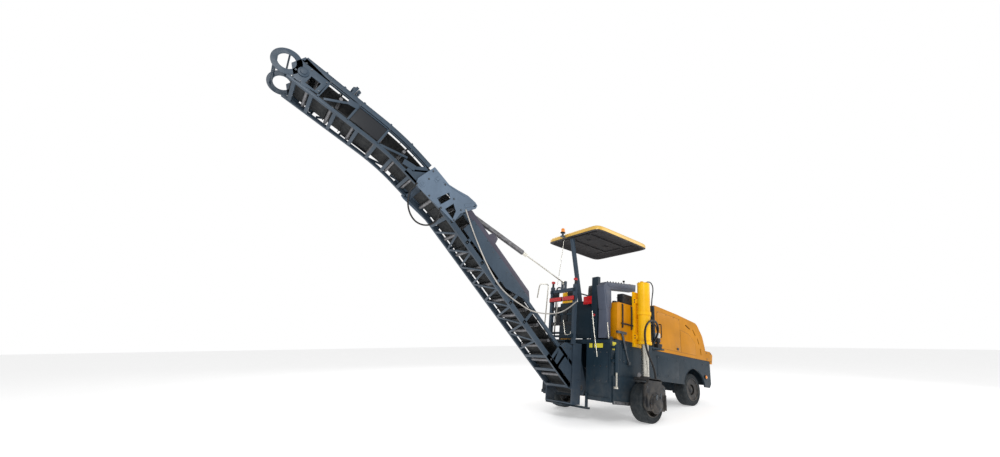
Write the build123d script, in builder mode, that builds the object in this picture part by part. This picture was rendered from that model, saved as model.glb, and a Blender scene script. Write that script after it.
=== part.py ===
from build123d import *
import os
from math import cos, degrees, radians, sin, tan

# Cold planer with a rear discharge conveyor. Millimetres, X forward, Y left, Z up.
# The origin is on the ground, below the middle of the outline.
os.makedirs("parts", exist_ok=True)

# Wheels and stance
rear_axle_x = 1486.4
tyre_diameter = 600
tyre_width = 230
tyre_bore = 420
rear_track = 1930
front_track = 870
wheelbase = 2110
lean = 8.0

# Fits
fit = 0.05
seat = 0.3
clear = 6

# Drum housing
rear_face = -690
housing_front = 430
housing_side = 800
housing_bottom = 240
frame_top = 1195
wall = 20
mouth_low_y = -290
mouth_high_y = 590
mouth_top = 1125
drum_x = 60
drum_z = 690
drum_right = -770
drum_left = 215
cut_radius = 340
drum_tube_radius = 225
drum_shaft_radius = 60
partition_y = 240

# Front frame, hood and nose
frame_front = 2720
frame_side = 600
frame_bottom = 670
arch_radius = 370
plate = 25
bulkhead_x = 800
hood_rear = bulkhead_x + 30 + clear
hood_bottom = frame_top + clear
hood_wall = 20
hinge_x = 2790
hinge_z = 1185

# Operator's station: platform with its steps, tank, console, seat, steering stand and rear post
floor_thickness = 25
floor_rear = -560
floor_z = frame_top + floor_thickness
canopy_z = 3150
canopy_length = 1500
canopy_width = 1380
canopy_x = -100
canopy_y = 60

# Rear legs
leg_y = 955
tube_radius = 105
rod_radius = 62
tube_bottom = 1200
tube_top = 2240
flange_z = 630
fork_plate = 40

# Slew, lift and fold of the conveyor
slew_x = -800
conveyor_y = 150
conveyor_half = 290
cheek_gap = 12
cheek = 20
foot_x = -700
foot_z = 282
lower_angle = 47.1
lower_run = 3850
lower_bend = 8.1
lower_bend_radius = 1500
lower_end = 350
upper_run = 300
upper_bend = 12.0
upper_bend_radius = 3340
upper_end = 1210
fold_n = 60
fold_gap = 80
side_sheet = 10
chord_height = 60
chord_depth = 40
depth = 360
upper_inset = 18
lift_s = 240
lift_n = 200
pulley_n = 200
pulley_radius = 100
belt_width = 440
belt_thickness = 12
cleat_height = 25
cleat_pitch = 250
ring_reach = 230
ring_outer = 190
ring_inner = 112

axle = Plane(
    origin=(rear_axle_x, 0, tyre_diameter / 2),
    x_dir=(cos(radians(lean)), 0, -sin(radians(lean))),
    z_dir=(sin(radians(lean)), 0, cos(radians(lean))),
)
body = axle.offset(-tyre_diameter / 2)


def spot(x, y, z):
    """The body's own directions at a place given in the leaning body's frame."""
    return Plane(origin=body.from_local_coords((x, y, z)), x_dir=body.x_dir, z_dir=body.z_dir)


def side(y):
    """Side view of the body at y: x forward, y up, extruding to the right."""
    return Plane(origin=body.from_local_coords((0, y, 0)), x_dir=body.x_dir, z_dir=(0, -1, 0))


def level(z):
    """Plan of the body at height z, extruding up."""
    return body.offset(z)


def run(x, z, angle, y):
    """Side view of a conveyor run: x up along the run, y out of the belt, extruding to the left."""
    turn = radians(angle)
    return Plane(origin=(rear_axle_x + x, y, z), x_dir=(-cos(turn), 0, sin(turn)), z_dir=(0, 1, 0))


def station(first, bend, radius, s, n=0):
    """Place and turn on a run that is straight, then bends down, then is straight again."""
    if s <= first:
        return Location((s, n), 0)
    turn = min((s - first) / radius, radians(bend))
    rest = max(s - first - radius * radians(bend), 0)
    x = first + (radius + n) * sin(turn) + rest * cos(turn)
    y = (radius + n) * cos(turn) - radius - rest * sin(turn)
    return Location((x, y), -degrees(turn))


def ribbon(first, bend, radius, last, low, high, start=0):
    """Strip between two distances from the lower chord's line, along such a run."""
    with BuildSketch() as strip:
        with BuildLine():
            low_run = Line((start, low), (first, low))
            low_arc = JernArc(low_run @ 1, low_run % 1, radius + low, -bend)
            low_tip = Line(low_arc @ 1, (low_arc @ 1) + (low_arc % 1) * last)
            way = low_arc % 1
            across_end = Line(low_tip @ 1, (low_tip @ 1) + Vector(-way.Y, way.X) * (high - low))
            high_tip = Line(across_end @ 1, (across_end @ 1) - way * last)
            high_arc = JernArc(high_tip @ 1, way * -1, radius + high, bend)
            Line(high_arc @ 1, (start, high))
            Line((start, high), (start, low))
        make_face()
    return strip.sketch


def lower(y):
    return run(foot_x, foot_z, lower_angle, y)


lower_shape = (lower_run, lower_bend, lower_bend_radius)
upper_shape = (upper_run, upper_bend, upper_bend_radius)
lower_total = lower_run + lower_bend_radius * radians(lower_bend) + lower_end
upper_total = upper_run + upper_bend_radius * radians(upper_bend) + upper_end
fold_spot = station(*lower_shape, lower_total, fold_n).position
fold_place = lower(conveyor_y).from_local_coords((fold_spot.X, fold_spot.Y, 0))


def upper(y):
    """Side view of the upper section, x from the fold pin, y from the pin's height."""
    return run(fold_place.X - rear_axle_x, fold_place.Z, lower_angle - lower_bend, y)


def slab(x, y, z, mode=Mode.ADD):
    """A block between two values of x, y and z in the body's frame."""
    with Locations(spot((x[0] + x[1]) / 2, (y[0] + y[1]) / 2, (z[0] + z[1]) / 2)):
        Box(x[1] - x[0], y[1] - y[0], z[1] - z[0], mode=mode)


def pin(x, y, z, radius, length, mode=Mode.ADD):
    """A round bar along Y, centred at a place in the body's frame."""
    with Locations(spot(x, y, z)):
        Cylinder(radius, length, rotation=(90, 0, 0), mode=mode)


def cord(points, ends, diameter, name):
    """Cable or hose through points given as x from the rear axle and z; y runs from end to end."""
    first, last = points[0][0], points[-1][0]
    slope = (ends[1] - ends[0]) / (last - first)
    route = [Vector(rear_axle_x + x, ends[0] + slope * (x - first), z) for x, z in points]
    radii = []
    for before, here, after in zip(route, route[1:], route[2:]):
        half_turn = radians((here - before).get_angle(after - here)) / 2
        radii.append(0.45 * min((here - before).length, (after - here).length) / tan(half_turn))
    with BuildPart() as hose:
        with BuildLine() as centre:
            FilletPolyline(*route, radius=tuple(radii))
        path = centre.wires()[0]
        with BuildSketch(Plane(origin=path @ 0, z_dir=path % 0)):
            Circle(diameter / 2)
        sweep()
    print(name, "length", round(path.length), "radii", [round(radius) for radius in radii])
    save(hose.part, name)


def save(part, name):
    part.label = name
    export_step(part, f"parts/{name}.step")


# Drum housing, open below, with the conveyor's mouth and slew arms behind and side-plate guides beside
plate_side = 16
plate_face = housing_side + clear
bar_half = 15
guide_places = (-560, 300)
slew_pin = 40
with BuildPart() as drum_housing:
    slab((rear_face, housing_front), (-housing_side, housing_side), (housing_bottom, frame_top))
    slab(
        (rear_face + wall, housing_front - wall),
        (-housing_side + wall, housing_side - wall),
        (housing_bottom, frame_top - wall),
        Mode.SUBTRACT,
    )
    slab((rear_face, rear_face + wall), (mouth_low_y, mouth_high_y), (housing_bottom, mouth_top), Mode.SUBTRACT)
    slab((-380, housing_front - wall), (partition_y, partition_y + wall), (housing_bottom + 60, frame_top - wall))
    for y in (-housing_side + wall / 2, partition_y + wall / 2):
        pin(drum_x, y, drum_z, 150, wall)
        pin(drum_x, y, drum_z, drum_shaft_radius + fit, wall, Mode.SUBTRACT)
    for hand in (-1, 1):
        guide = sorted((hand * housing_side, hand * (plate_face + plate_side + 12)))
        slot = sorted((hand * (plate_face - seat), hand * (plate_face + plate_side + seat)))
        for x in guide_places:
            slab((x - bar_half - 12, x + bar_half + 12), guide, (860, 960))
            slab((x - bar_half - seat, x + bar_half + seat), slot, (860, 960), Mode.SUBTRACT)
    slab((slew_x - 100, rear_face), (conveyor_y - 110, conveyor_y + 110), (1135, 1165))
    slab((slew_x - 100, rear_face + 50), (conveyor_y - 110, conveyor_y + 110), (90, 120))
    slab((rear_face - 30, rear_face + 50), (mouth_low_y - 60, mouth_high_y + 60), (90, 120))
    for y in (mouth_low_y - 60, mouth_high_y + 20):
        slab((rear_face - 30, rear_face), (y, y + 40), (90, 330))
    for z in (105, 1150):
        with Locations(spot(slew_x, conveyor_y, z)):
            Cylinder(slew_pin + fit, 60, mode=Mode.SUBTRACT)
save(drum_housing.part, "drum_housing")

# Milling drum: tube, shaft and three starts of tool holders with their picks
pick_starts = 3
picks_per_start = 14
with BuildPart() as drum_tube:
    pin(drum_x, (drum_right + drum_left) / 2, drum_z, drum_tube_radius, drum_left - drum_right)
    shaft_low = -housing_side + 2
    shaft_high = partition_y + wall - 2
    pin(drum_x, (shaft_low + shaft_high) / 2, drum_z, drum_shaft_radius, shaft_high - shaft_low)
pick_places = []
for start in range(pick_starts):
    for step in range(picks_per_start):
        turn = 360 / pick_starts * start + 40 * step
        pick_places.append((turn, drum_right + 30 + (drum_left - drum_right - 60) * (step + start / 3) / picks_per_start))
with BuildPart() as milling_drum:
    add(drum_tube.part)
    for turn, y in pick_places:
        root = spot(drum_x, y, drum_z).rotated((0, turn, 0)).offset(drum_tube_radius - 8)
        with BuildSketch(root):
            Rectangle(70, 44)
        extrude(amount=50)
        with Locations(root.offset(42 + (cut_radius - drum_tube_radius - 34) / 2)):
            Cone(18, 5, cut_radius - drum_tube_radius - 34)
save(milling_drum.part, "milling_drum")

# Side plates that float beside the drum, each on two bars in the housing's guides
sides = [("right", -1), ("left", 1)]
for name, hand in sides:
    plate_band = sorted((hand * plate_face, hand * (plate_face + plate_side)))
    with BuildPart() as side_plate:
        slab((-640, 330), plate_band, (housing_bottom - 20, 640))
        for x in guide_places:
            slab((x - bar_half, x + bar_half), plate_band, (640, 1000))
    save(side_plate.part, f"side_plate_{name}")

# Front frame: side plates with wheel arches, deck, bulkhead, hood hinges and tow jaw
hinge_pin = 14
hinge_places = (-400, 400)
with BuildPart() as front_frame:
    with BuildSketch(side(frame_side)):
        with BuildLine():
            Polyline(
                (housing_front, frame_bottom),
                (frame_front - 60, frame_bottom),
                (frame_front, frame_bottom + 80),
                (frame_front, frame_top),
                (housing_front, frame_top),
                close=True,
            )
        make_face()
        with Locations((wheelbase, 620)):
            Circle(arch_radius, mode=Mode.SUBTRACT)
    extrude(amount=2 * frame_side)
    slab(
        (housing_front, frame_front - plate),
        (-frame_side + plate, frame_side - plate),
        (frame_bottom - 1, frame_top - plate),
        Mode.SUBTRACT,
    )
    slab((bulkhead_x, bulkhead_x + 30), (-frame_side, frame_side), (frame_top, 2030))
    for y in hinge_places:
        slab((frame_front, hinge_x + 30), (y - 38, y + 38), (1100, hinge_z + 30))
        pin(hinge_x, y, hinge_z, hinge_pin + fit, 80, Mode.SUBTRACT)
    for z in (820, 900):
        slab((frame_front, frame_front + 110), (-60, 60), (z, z + 25))
    slab((frame_front, frame_front + 20), (-90, 90), (790, 955))
    with Locations(spot(frame_front + 70, 0, 870)):
        Cylinder(20, 200, mode=Mode.SUBTRACT)
save(front_frame.part, "front_frame")

# Front axle beam with its bolster under the deck
axle_x = wheelbase * cos(radians(lean))
axle_z = tyre_diameter / 2 + wheelbase * sin(radians(lean))
kingpin_y = 235
with BuildPart() as front_axle:
    slab((axle_x - 60, axle_x + 60), (-kingpin_y + 45, kingpin_y - 45), (axle_z - 60, axle_z + 60))
    slab((axle_x - 100, axle_x + 100), (-150, 150), (axle_z + 60, frame_top - plate))
    for hand in (-1, 1):
        yoke = sorted((hand * 150, hand * (kingpin_y + 48)))
        for z in (axle_z - 85, axle_z + 85):
            slab((axle_x - 48, axle_x + 48), yoke, (z - 15, z + 15))
        slab((axle_x - 48, axle_x + 48), sorted((hand * 140, hand * 180)), (axle_z - 85, axle_z + 85))
        with Locations(spot(axle_x, hand * kingpin_y, axle_z)):
            Cylinder(25 + fit, 220, mode=Mode.SUBTRACT)
save(front_axle.part, "front_axle")

# Knuckles: kingpin barrel and spindle
for name, hand in sides:
    with BuildPart() as knuckle:
        with Locations(spot(axle_x, hand * kingpin_y, axle_z)):
            Cylinder(45, 130)
            Cylinder(25, 196)
        spindle = front_track / 2 + 20 - kingpin_y
        pin(axle_x, hand * (kingpin_y + spindle / 2), axle_z, 35, spindle)
    save(knuckle.part, f"knuckle_{name}")


def tyre(centre, name):
    """Solid tyre on its own rim, turning about Y."""
    meridian = Plane(origin=centre, x_dir=(0, 1, 0), z_dir=(1, 0, 0))
    with BuildPart() as rubber:
        with BuildSketch(meridian):
            with BuildLine():
                FilletPolyline(
                    (-tyre_width / 2, tyre_bore / 2),
                    (-tyre_width / 2, tyre_diameter / 2),
                    (tyre_width / 2, tyre_diameter / 2),
                    (tyre_width / 2, tyre_bore / 2),
                    radius=28,
                )
                Line((tyre_width / 2, tyre_bore / 2), (-tyre_width / 2, tyre_bore / 2))
            make_face()
        revolve(axis=Axis(centre, (0, 1, 0)))
    save(rubber.part, f"tyre_{name}")


def rim(centre, name, bore):
    """Rim ring, disc and hub with eight bolt holes."""
    meridian = Plane(origin=centre, x_dir=(0, 1, 0), z_dir=(1, 0, 0))
    with BuildPart() as wheel:
        with BuildSketch(meridian):
            with BuildLine():
                Polyline(
                    (-tyre_width / 2, tyre_bore / 2),
                    (tyre_width / 2, tyre_bore / 2),
                    (tyre_width / 2, tyre_bore / 2 - 15),
                    (15, tyre_bore / 2 - 30),
                    (15, 110),
                    (50, 90),
                    (50, bore + fit),
                    (-50, bore + fit),
                    (-50, 90),
                    (-15, 110),
                    (-15, tyre_bore / 2 - 30),
                    (-tyre_width / 2, tyre_bore / 2 - 15),
                    close=True,
                )
            make_face()
        revolve(axis=Axis(centre, (0, 1, 0)))
        with BuildSketch(Plane(origin=centre, x_dir=(1, 0, 0), z_dir=(0, -1, 0))):
            with PolarLocations(137.5, 8):
                Circle(11)
        extrude(amount=20, both=True, mode=Mode.SUBTRACT)
    save(wheel.part, f"rim_{name}")


for name, hand in sides:
    front_centre = spot(axle_x, hand * front_track / 2, axle_z).origin
    tyre(front_centre, f"front_{name}")
    rim(front_centre, f"front_{name}", 35)
    rear_centre = spot(0, hand * rear_track / 2, tyre_diameter / 2).origin
    tyre(rear_centre, f"rear_{name}")
    rim(rear_centre, f"rear_{name}", 50)

# Rear legs: tubes on the housing, then each rod with its flange, fork plate and hub motor
with BuildPart() as leg_tubes:
    for _, hand in sides:
        with Locations(spot(0, hand * leg_y, (tube_bottom + tube_top) / 2)):
            Cylinder(tube_radius, tube_top - tube_bottom)
            Cylinder(tube_radius + 14, 60)
        with Locations(spot(0, hand * leg_y, tube_bottom + 25)):
            Cylinder(tube_radius + 12, 50)
        backing = sorted((hand * (housing_side + 30), hand * housing_side))
        slab((-120, 120), backing, (1150, 2100))
        clamp = sorted((hand * (housing_side + 30), hand * (leg_y - 90)))
        for z in (1280, 1900):
            slab((-60, 60), clamp, (z, z + 80))
        bore_top = tube_top - 40
        with Locations(spot(0, hand * leg_y, (tube_bottom + bore_top) / 2)):
            Cylinder(rod_radius + fit, bore_top - tube_bottom, mode=Mode.SUBTRACT)
save(leg_tubes.part, "leg_tubes")
for name, hand in sides:
    with BuildPart() as leg:
        rod_top = tube_top - 520
        with Locations(spot(0, hand * leg_y, (flange_z + rod_top) / 2)):
            Cylinder(rod_radius, rod_top - flange_z)
        outer_face = rear_track / 2 + tyre_width / 2 + 15 + fork_plate
        slab((-165, 165), sorted((hand * 850, hand * outer_face)), (flange_z, flange_z + 40))
        fork_low = hand * (outer_face - fork_plate)
        with BuildSketch(side(max(fork_low, hand * outer_face))):
            with BuildLine():
                Polyline((-165, flange_z + 40), (165, flange_z + 40), (165, 480), (110, 190), (-110, 190), (-165, 480), close=True)
            make_face()
        extrude(amount=fork_plate)
        pin(0, hand * (outer_face + 35), tyre_diameter / 2, 120, 70)
        hub = outer_face - rear_track / 2 + 50
        pin(0, hand * (outer_face - hub / 2), tyre_diameter / 2, 50, hub)
    save(leg.part, f"rear_leg_{name}")

# Engine block, bulkhead and the hood that tilts forward with its nose
with BuildPart() as engine:
    slab((1150, 2350), (-380, 380), (frame_top, 1800))
save(engine.part, "engine")
hood_profile = [(2050, hood_rear), (2000, 1590), (1925, 2300), (1690, 2500), (1440, 2580)]


def hood_outline(inset, drop):
    """Side outline of the hood, drawn inside its skin by the inset."""
    back = hood_rear - drop
    points = [(back, hood_bottom - drop)]
    points += [(back if n == 0 else x - inset * (n > 2), z - inset * (n < 3)) for n, (z, x) in enumerate(hood_profile)]
    points.append((2580 - inset, hood_bottom - drop))
    with BuildSketch(side(frame_side - inset)) as outline:
        with BuildLine():
            FilletPolyline(*points, radius=(1, 600, 180 - inset, 180 - inset, 60), close=False)
            Line(points[-1], points[0])
        make_face()
    return outline.sketch


hood_outer = hood_outline(0, 0)
hood_inner = hood_outline(hood_wall, 1)
with BuildPart() as engine_hood:
    extrude(hood_outer, amount=2 * frame_side)
    extrude(hood_inner, amount=2 * (frame_side - hood_wall), mode=Mode.SUBTRACT)
    slots = [(1960, 1800, -20, 180), (2190, 1720, -50, 150), (2330, 1560, -70, 130), (2400, 1360, -80, 130)]
    for x, z, turn, length in slots:
        with BuildSketch(side(frame_side)):
            with Locations(Location((x, z), turn)):
                SlotOverall(length, 28)
        extrude(amount=2 * frame_side, mode=Mode.SUBTRACT)
save(engine_hood.part, "engine_hood")

with BuildPart() as hood_nose:
    with BuildSketch(side(frame_side)):
        with BuildLine():
            FilletPolyline(
                (2581, hood_bottom + 5), (2581, 1435), (2850, 1435), (2850, 1145), (2750, 1145), (2745, hood_bottom), (2700, hood_bottom),
                radius=(1, 45, 30, 1, 1),
            )
            Line((2700, hood_bottom), (2581, hood_bottom + 5))
        make_face()
    extrude(amount=2 * frame_side)
    for y in hinge_places:
        slab((2700, 2860), (y - 45, y + 45), (1140, 1250), Mode.SUBTRACT)
        pin(hinge_x, y, hinge_z, hinge_pin, 92)
save(hood_nose.part, "hood_nose")
# Operator's station
with BuildPart() as platform:
    slab((floor_rear, bulkhead_x), (-housing_side, housing_side), (frame_top, floor_z))
    for x in (450, 730):
        slab((x, x + 20), (760, 790), (560, frame_top))
        slab((x, x + 20), (640, 790), (560, 600))
        slab((x, x + 20), (frame_side, 790), (760, 785))
    for z in (560, 760, 960):
        slab((450, 750), (640, 790), (z, z + 25))
save(platform.part, "platform")
with BuildPart() as yellow_tank:
    slab((-520, 20), (-housing_side, -560), (floor_z, 1850))
    fillet(yellow_tank.edges().filter_by(Axis.Y), 40)
save(yellow_tank.part, "tank")
with BuildPart() as console_column:
    slab((-685, -565), (-housing_side, -620), (frame_top, 2050))
    with BuildSketch(side(-650)):
        with BuildLine():
            Polyline((-700, 2050), (50, 2050), (50, 2170), (-650, 2230), (-700, 2200), close=True)
        make_face()
    extrude(amount=150)
save(console_column.part, "console")
with BuildPart() as seat_part:
    slab((-380, 0), (-420, -60), (floor_z, 1600))
    slab((-420, 60), (-480, 0), (1600, 1720))
    slab((-440, -340), (-470, -10), (1720, 2250))
save(seat_part.part, "seat")
with BuildPart() as steering_stand:
    slab((520, 640), (-300, -140), (floor_z, 1950))
    with Locations(spot(560, -220, 1990)):
        Cylinder(18, 80)
        Torus(170, 14)
        Box(340, 30, 16)
save(steering_stand.part, "steering_stand")

# Canopy: slanted post, beacon bracket and roof
beacon_x = canopy_x - canopy_length / 2 - 50
beacon_y = 240
with BuildPart() as canopy_post:
    slab((beacon_x - 40, beacon_x + 50), (beacon_y - 30, beacon_y + 30), (canopy_z + 10, canopy_z + 30))
    with Locations(spot(beacon_x, beacon_y, canopy_z + 70)):
        Cylinder(22, 80)
    foot = body.from_local_coords((-300, 120, floor_z))
    head = body.from_local_coords((-755, 120, canopy_z))
    with BuildSketch(level(floor_z)):
        with Locations((-300, 120)):
            Circle(45)
    extrude(amount=(head - foot).length, dir=(head - foot).normalized())
save(canopy_post.part, "canopy_post")
with BuildPart() as canopy_roof:
    with BuildSketch(level(canopy_z)):
        with Locations((canopy_x, canopy_y)):
            RectangleRounded(canopy_length, canopy_width, 140)
    extrude(amount=70)
    with BuildSketch(level(canopy_z + 70)):
        with Locations((canopy_x, canopy_y)):
            RectangleRounded(canopy_length - 40, canopy_width - 40, 120)
    extrude(amount=50, taper=45)
save(canopy_roof.part, "canopy_roof")
with BuildPart() as beacon:
    with Locations(spot(beacon_x, beacon_y, canopy_z + 155)):
        Cylinder(42, 90)
save(beacon.part, "beacon")

# Handrails
with BuildPart() as handrails:
    for x in (-500, 500):
        slab((x - 15, x + 15), (745, 775), (floor_z, 2300))
    slab((-500, 500), (745, 775), (2270, 2300))
    slab((-500, 500), (745, 775), (1760, 1790))
save(handrails.part, "handrails")

# Slew frame: cheeks, cross plates, pins and mast
cheek_in = conveyor_half + cheek_gap
mast_x = slew_x - 80
mast_half = 300
mast_top = 2150
lift_place = lower(conveyor_y).from_local_coords((lift_s, lift_n, 0))
mast_eye = body.from_local_coords((mast_x, conveyor_y, mast_top + 60))
lift_eye = lower(conveyor_y).from_local_coords((3680, depth + 190, 0))
with BuildPart() as slew_frame:
    for y in (conveyor_y - cheek_in - cheek, conveyor_y + cheek_in):
        slab((slew_x - 90, slew_x + 110), (y, y + cheek), (130, 1115))
    for z in ((1085, 1115), (130, 150)):
        slab((slew_x - 90, slew_x + 100), (conveyor_y - cheek_in, conveyor_y + cheek_in), z)
    with Locations(spot(slew_x, conveyor_y, 1140)):
        Cylinder(slew_pin, 60)
    with Locations(spot(slew_x, conveyor_y, 110)):
        Cylinder(slew_pin, 50)
    for y in (conveyor_y - mast_half, conveyor_y + mast_half):
        slab((mast_x - 30, mast_x + 30), (y - 30, y + 30), (1085, mast_top))
    slab((mast_x - 25, mast_x + 25), (conveyor_y - mast_half, conveyor_y + mast_half), (mast_top - 120, mast_top - 60))
    for y in (conveyor_y - 50, conveyor_y + 30):
        slab((mast_x - 25, mast_x + 25), (y, y + 20), (mast_top - 60, mast_top + 90))
    with Locations(Location(lift_place)):
        Cylinder(40 + fit, 2 * cheek_in + 200, rotation=(90, 0, 0), mode=Mode.SUBTRACT)
save(slew_frame.part, "slew_frame")
with BuildPart() as mast_lamps:
    slab((mast_x - 60, mast_x - 30), (conveyor_y - mast_half - 30, conveyor_y + mast_half + 30), (1850, 1940))
    for y in (conveyor_y - mast_half, conveyor_y + mast_half):
        with Locations(spot(mast_x, y, mast_top + 40)):
            Cylinder(22, 80)
        with Locations(spot(mast_x, y, mast_top + 100)):
            Cylinder(38, 40)
save(mast_lamps.part, "mast_lamps")

# Lower conveyor frame: solid foot, chords, struts and cross bars
foot_plate = 1000
near_faces = (conveyor_y - conveyor_half, conveyor_y + conveyor_half - side_sheet)
chord_faces = (conveyor_y - conveyor_half, conveyor_y + conveyor_half - chord_depth)
lower_last = lower_end - fold_gap
strut_count = 9
with BuildPart() as lower_frame:
    for y in chord_faces:
        for low in (0, depth - chord_height):
            with BuildSketch(lower(y)):
                add(ribbon(*lower_shape, lower_last, low, low + chord_height, 300))
            extrude(amount=chord_depth)
    for y in near_faces:
        with BuildSketch(lower(y)):
            with BuildLine():
                Polyline(
                    (-20, 150), (60, 60), (300, 0), (foot_plate, 0),
                    (foot_plate, depth), (300, depth), (20, 310), close=True,
                )
            make_face()
            with Locations((100, pulley_n)):
                Circle(45, mode=Mode.SUBTRACT)
            for step in range(strut_count):
                s = foot_plate + (lower_total - fold_gap - 60 - foot_plate) / strut_count * (step + 1)
                with Locations(station(*lower_shape, s, depth / 2)):
                    Rectangle(70, depth - 40)
        extrude(amount=side_sheet)
    for step in range(14):
        s = 420 + 290 * step
        with BuildSketch(lower(conveyor_y - conveyor_half)):
            with Locations(station(*lower_shape, s, 30)):
                Rectangle(50, 40)
        extrude(amount=2 * conveyor_half)
    for y in (conveyor_y - conveyor_half - 16, conveyor_y + conveyor_half + 16):
        with Locations(Location((lift_place.X, y, lift_place.Z))):
            Cylinder(40, 32 + 2 * side_sheet, rotation=(90, 0, 0))
save(lower_frame.part, "conveyor_lower_frame")


def belt_strips(shape, last, base, start):
    """Carrying and returning sides of a belt."""
    high = pulley_n + pulley_radius + seat - base
    low = pulley_n - pulley_radius - seat - belt_thickness - base
    return [ribbon(*shape, last, edge, edge + belt_thickness, start) for edge in (low, high)]


belt_face = conveyor_y - belt_width / 2
wrap = pulley_radius + seat
tail_s = 100
with BuildPart() as lower_belt:
    with BuildSketch(lower(belt_face)):
        for strip in belt_strips(lower_shape, lower_last, 0, tail_s):
            add(strip)
        with BuildLine():
            CenterArc((tail_s, pulley_n), wrap, 90, 180)
            CenterArc((tail_s, pulley_n), wrap + belt_thickness, 90, 180)
            Line((tail_s, pulley_n + wrap), (tail_s, pulley_n + wrap + belt_thickness))
            Line((tail_s, pulley_n - wrap), (tail_s, pulley_n - wrap - belt_thickness))
        make_face()
    extrude(amount=belt_width)
    for step in range(int((lower_total - fold_gap - 300) / cleat_pitch)):
        s = 250 + cleat_pitch * step
        with BuildSketch(lower(belt_face)):
            for n in (pulley_n + wrap + belt_thickness + cleat_height / 2, pulley_n - wrap - belt_thickness - cleat_height / 2):
                with Locations(station(*lower_shape, s, n)):
                    Rectangle(10, cleat_height + 1)
        extrude(amount=belt_width)
save(lower_belt.part, "conveyor_lower_belt")
with BuildPart() as tail_pulley:
    with BuildSketch(lower(belt_face)):
        with Locations((tail_s, pulley_n)):
            Circle(pulley_radius)
    extrude(amount=belt_width)
    with BuildSketch(lower(conveyor_y - conveyor_half)):
        with Locations((tail_s, pulley_n)):
            Circle(30)
    extrude(amount=2 * conveyor_half)
    for y in (conveyor_y - conveyor_half, conveyor_y + conveyor_half - 30):
        with BuildSketch(lower(y)):
            with Locations((tail_s, pulley_n)):
                Circle(45 - seat)
        extrude(amount=30)
save(tail_pulley.part, "tail_pulley")

# Cover over the lower section
with BuildPart() as lower_cover:
    with BuildSketch(lower(conveyor_y - conveyor_half)):
        with BuildLine():
            Polyline((1300, depth), (3700, depth), (3620, depth + 110), (1450, depth + 110), close=True)
        make_face()
    extrude(amount=2 * conveyor_half)
    with BuildSketch(lower(conveyor_y - conveyor_half + 6)):
        with BuildLine():
            Polyline((1250, depth - 1), (3750, depth - 1), (3630, depth + 104), (1440, depth + 104), close=True)
        make_face()
    extrude(amount=2 * conveyor_half - 12, mode=Mode.SUBTRACT)
save(lower_cover.part, "conveyor_lower_cover")

# Fold gussets on the lower frame, with the fold pins, lock pins and the cross tubes of the hoist's pin
upper_half = conveyor_half - upper_inset
gusset = 12
gusset_face = conveyor_half + gusset
windows = ((-369, 90, 105, 190, 0), (-618, 48, 175, 165, lower_bend))
with BuildPart() as fold_gussets:
    for y in (conveyor_y - gusset_face, conveyor_y + conveyor_half):
        with BuildSketch(upper(y)):
            with BuildLine():
                Polyline(
                    (60, -60), (-350, -60), (-710, -96), (-830, 245), (-860, 430), (-790, 505),
                    (-640, 470), (-120, 350), (40, 330), (90, 60), close=True,
                )
            make_face()
            for x, n, length, height, turn in windows:
                with Locations(Location((x, n), turn)):
                    Rectangle(length, height, mode=Mode.SUBTRACT)
        extrude(amount=gusset)
    for hand in (-1, 1):
        fold_pin = upper_inset + gusset + 18
        with Locations(Location((fold_place.X, conveyor_y + hand * (gusset_face + 8 - fold_pin / 2), fold_place.Z))):
            Cylinder(25, fold_pin, rotation=(90, 0, 0))
        lock = upper(0).from_local_coords((-110, 255, 0))
        with Locations(Location((lock.X, conveyor_y + hand * (gusset_face + 5), lock.Z))):
            Cylinder(22, 2 * gusset, rotation=(90, 0, 0))
        tube_length = gusset_face - 25
        with Locations(Location((lift_eye.X, conveyor_y + hand * (25 + tube_length / 2), lift_eye.Z))):
            Cylinder(28, tube_length, rotation=(90, 0, 0))
    with Locations(Location(lift_eye)):
        Cylinder(15, 60, rotation=(90, 0, 0))
save(fold_gussets.part, "fold_gussets")

# Upper conveyor frame
upper_faces = (conveyor_y - upper_half, conveyor_y + upper_half - side_sheet)
upper_chords = (conveyor_y - upper_half, conveyor_y + upper_half - chord_depth)
upper_struts = 7
with BuildPart() as upper_frame:
    for y in upper_chords:
        for low in (-fold_n, depth - fold_n - chord_height):
            with BuildSketch(upper(y)):
                add(ribbon(*upper_shape, upper_end, low, low + chord_height, 20))
            extrude(amount=chord_depth)
    for y in upper_faces:
        with BuildSketch(upper(y)):
            Circle(55)
            add(ribbon(*upper_shape, upper_end, -fold_n, chord_height - fold_n, 0))
            for step in range(upper_struts):
                s = 60 + (upper_total - 200) / upper_struts * step
                with Locations(station(*upper_shape, s, depth / 2 - fold_n)):
                    Rectangle(50, depth - 40)
            with Locations(station(*upper_shape, upper_total - 110, depth / 2 - fold_n)):
                Rectangle(260, depth)
            with Locations(station(*upper_shape, upper_total + ring_reach, depth / 2 - fold_n)):
                Circle(ring_outer)
                Circle(ring_inner, mode=Mode.SUBTRACT)
            with Locations(station(*upper_shape, upper_total + 40, depth / 2 - fold_n)):
                Rectangle(60, 200)
        extrude(amount=side_sheet)
    for s in range(200, int(upper_total), 270):
        with BuildSketch(upper(conveyor_y - upper_half)):
            with Locations(station(*upper_shape, s, 30 - fold_n)):
                Rectangle(50, 40)
        extrude(amount=2 * upper_half)
    for reach in (ring_reach - 150, ring_reach + 150):
        with BuildSketch(upper(conveyor_y - upper_half)):
            with Locations(station(*upper_shape, upper_total + reach, depth / 2 - fold_n)):
                Circle(12)
        extrude(amount=2 * upper_half)
    for y in (conveyor_y - upper_half, conveyor_y + upper_half):
        with Locations(Location((fold_place.X, y, fold_place.Z))):
            Cylinder(25 + fit, 60, rotation=(90, 0, 0), mode=Mode.SUBTRACT)
save(upper_frame.part, "conveyor_upper_frame")

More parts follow.
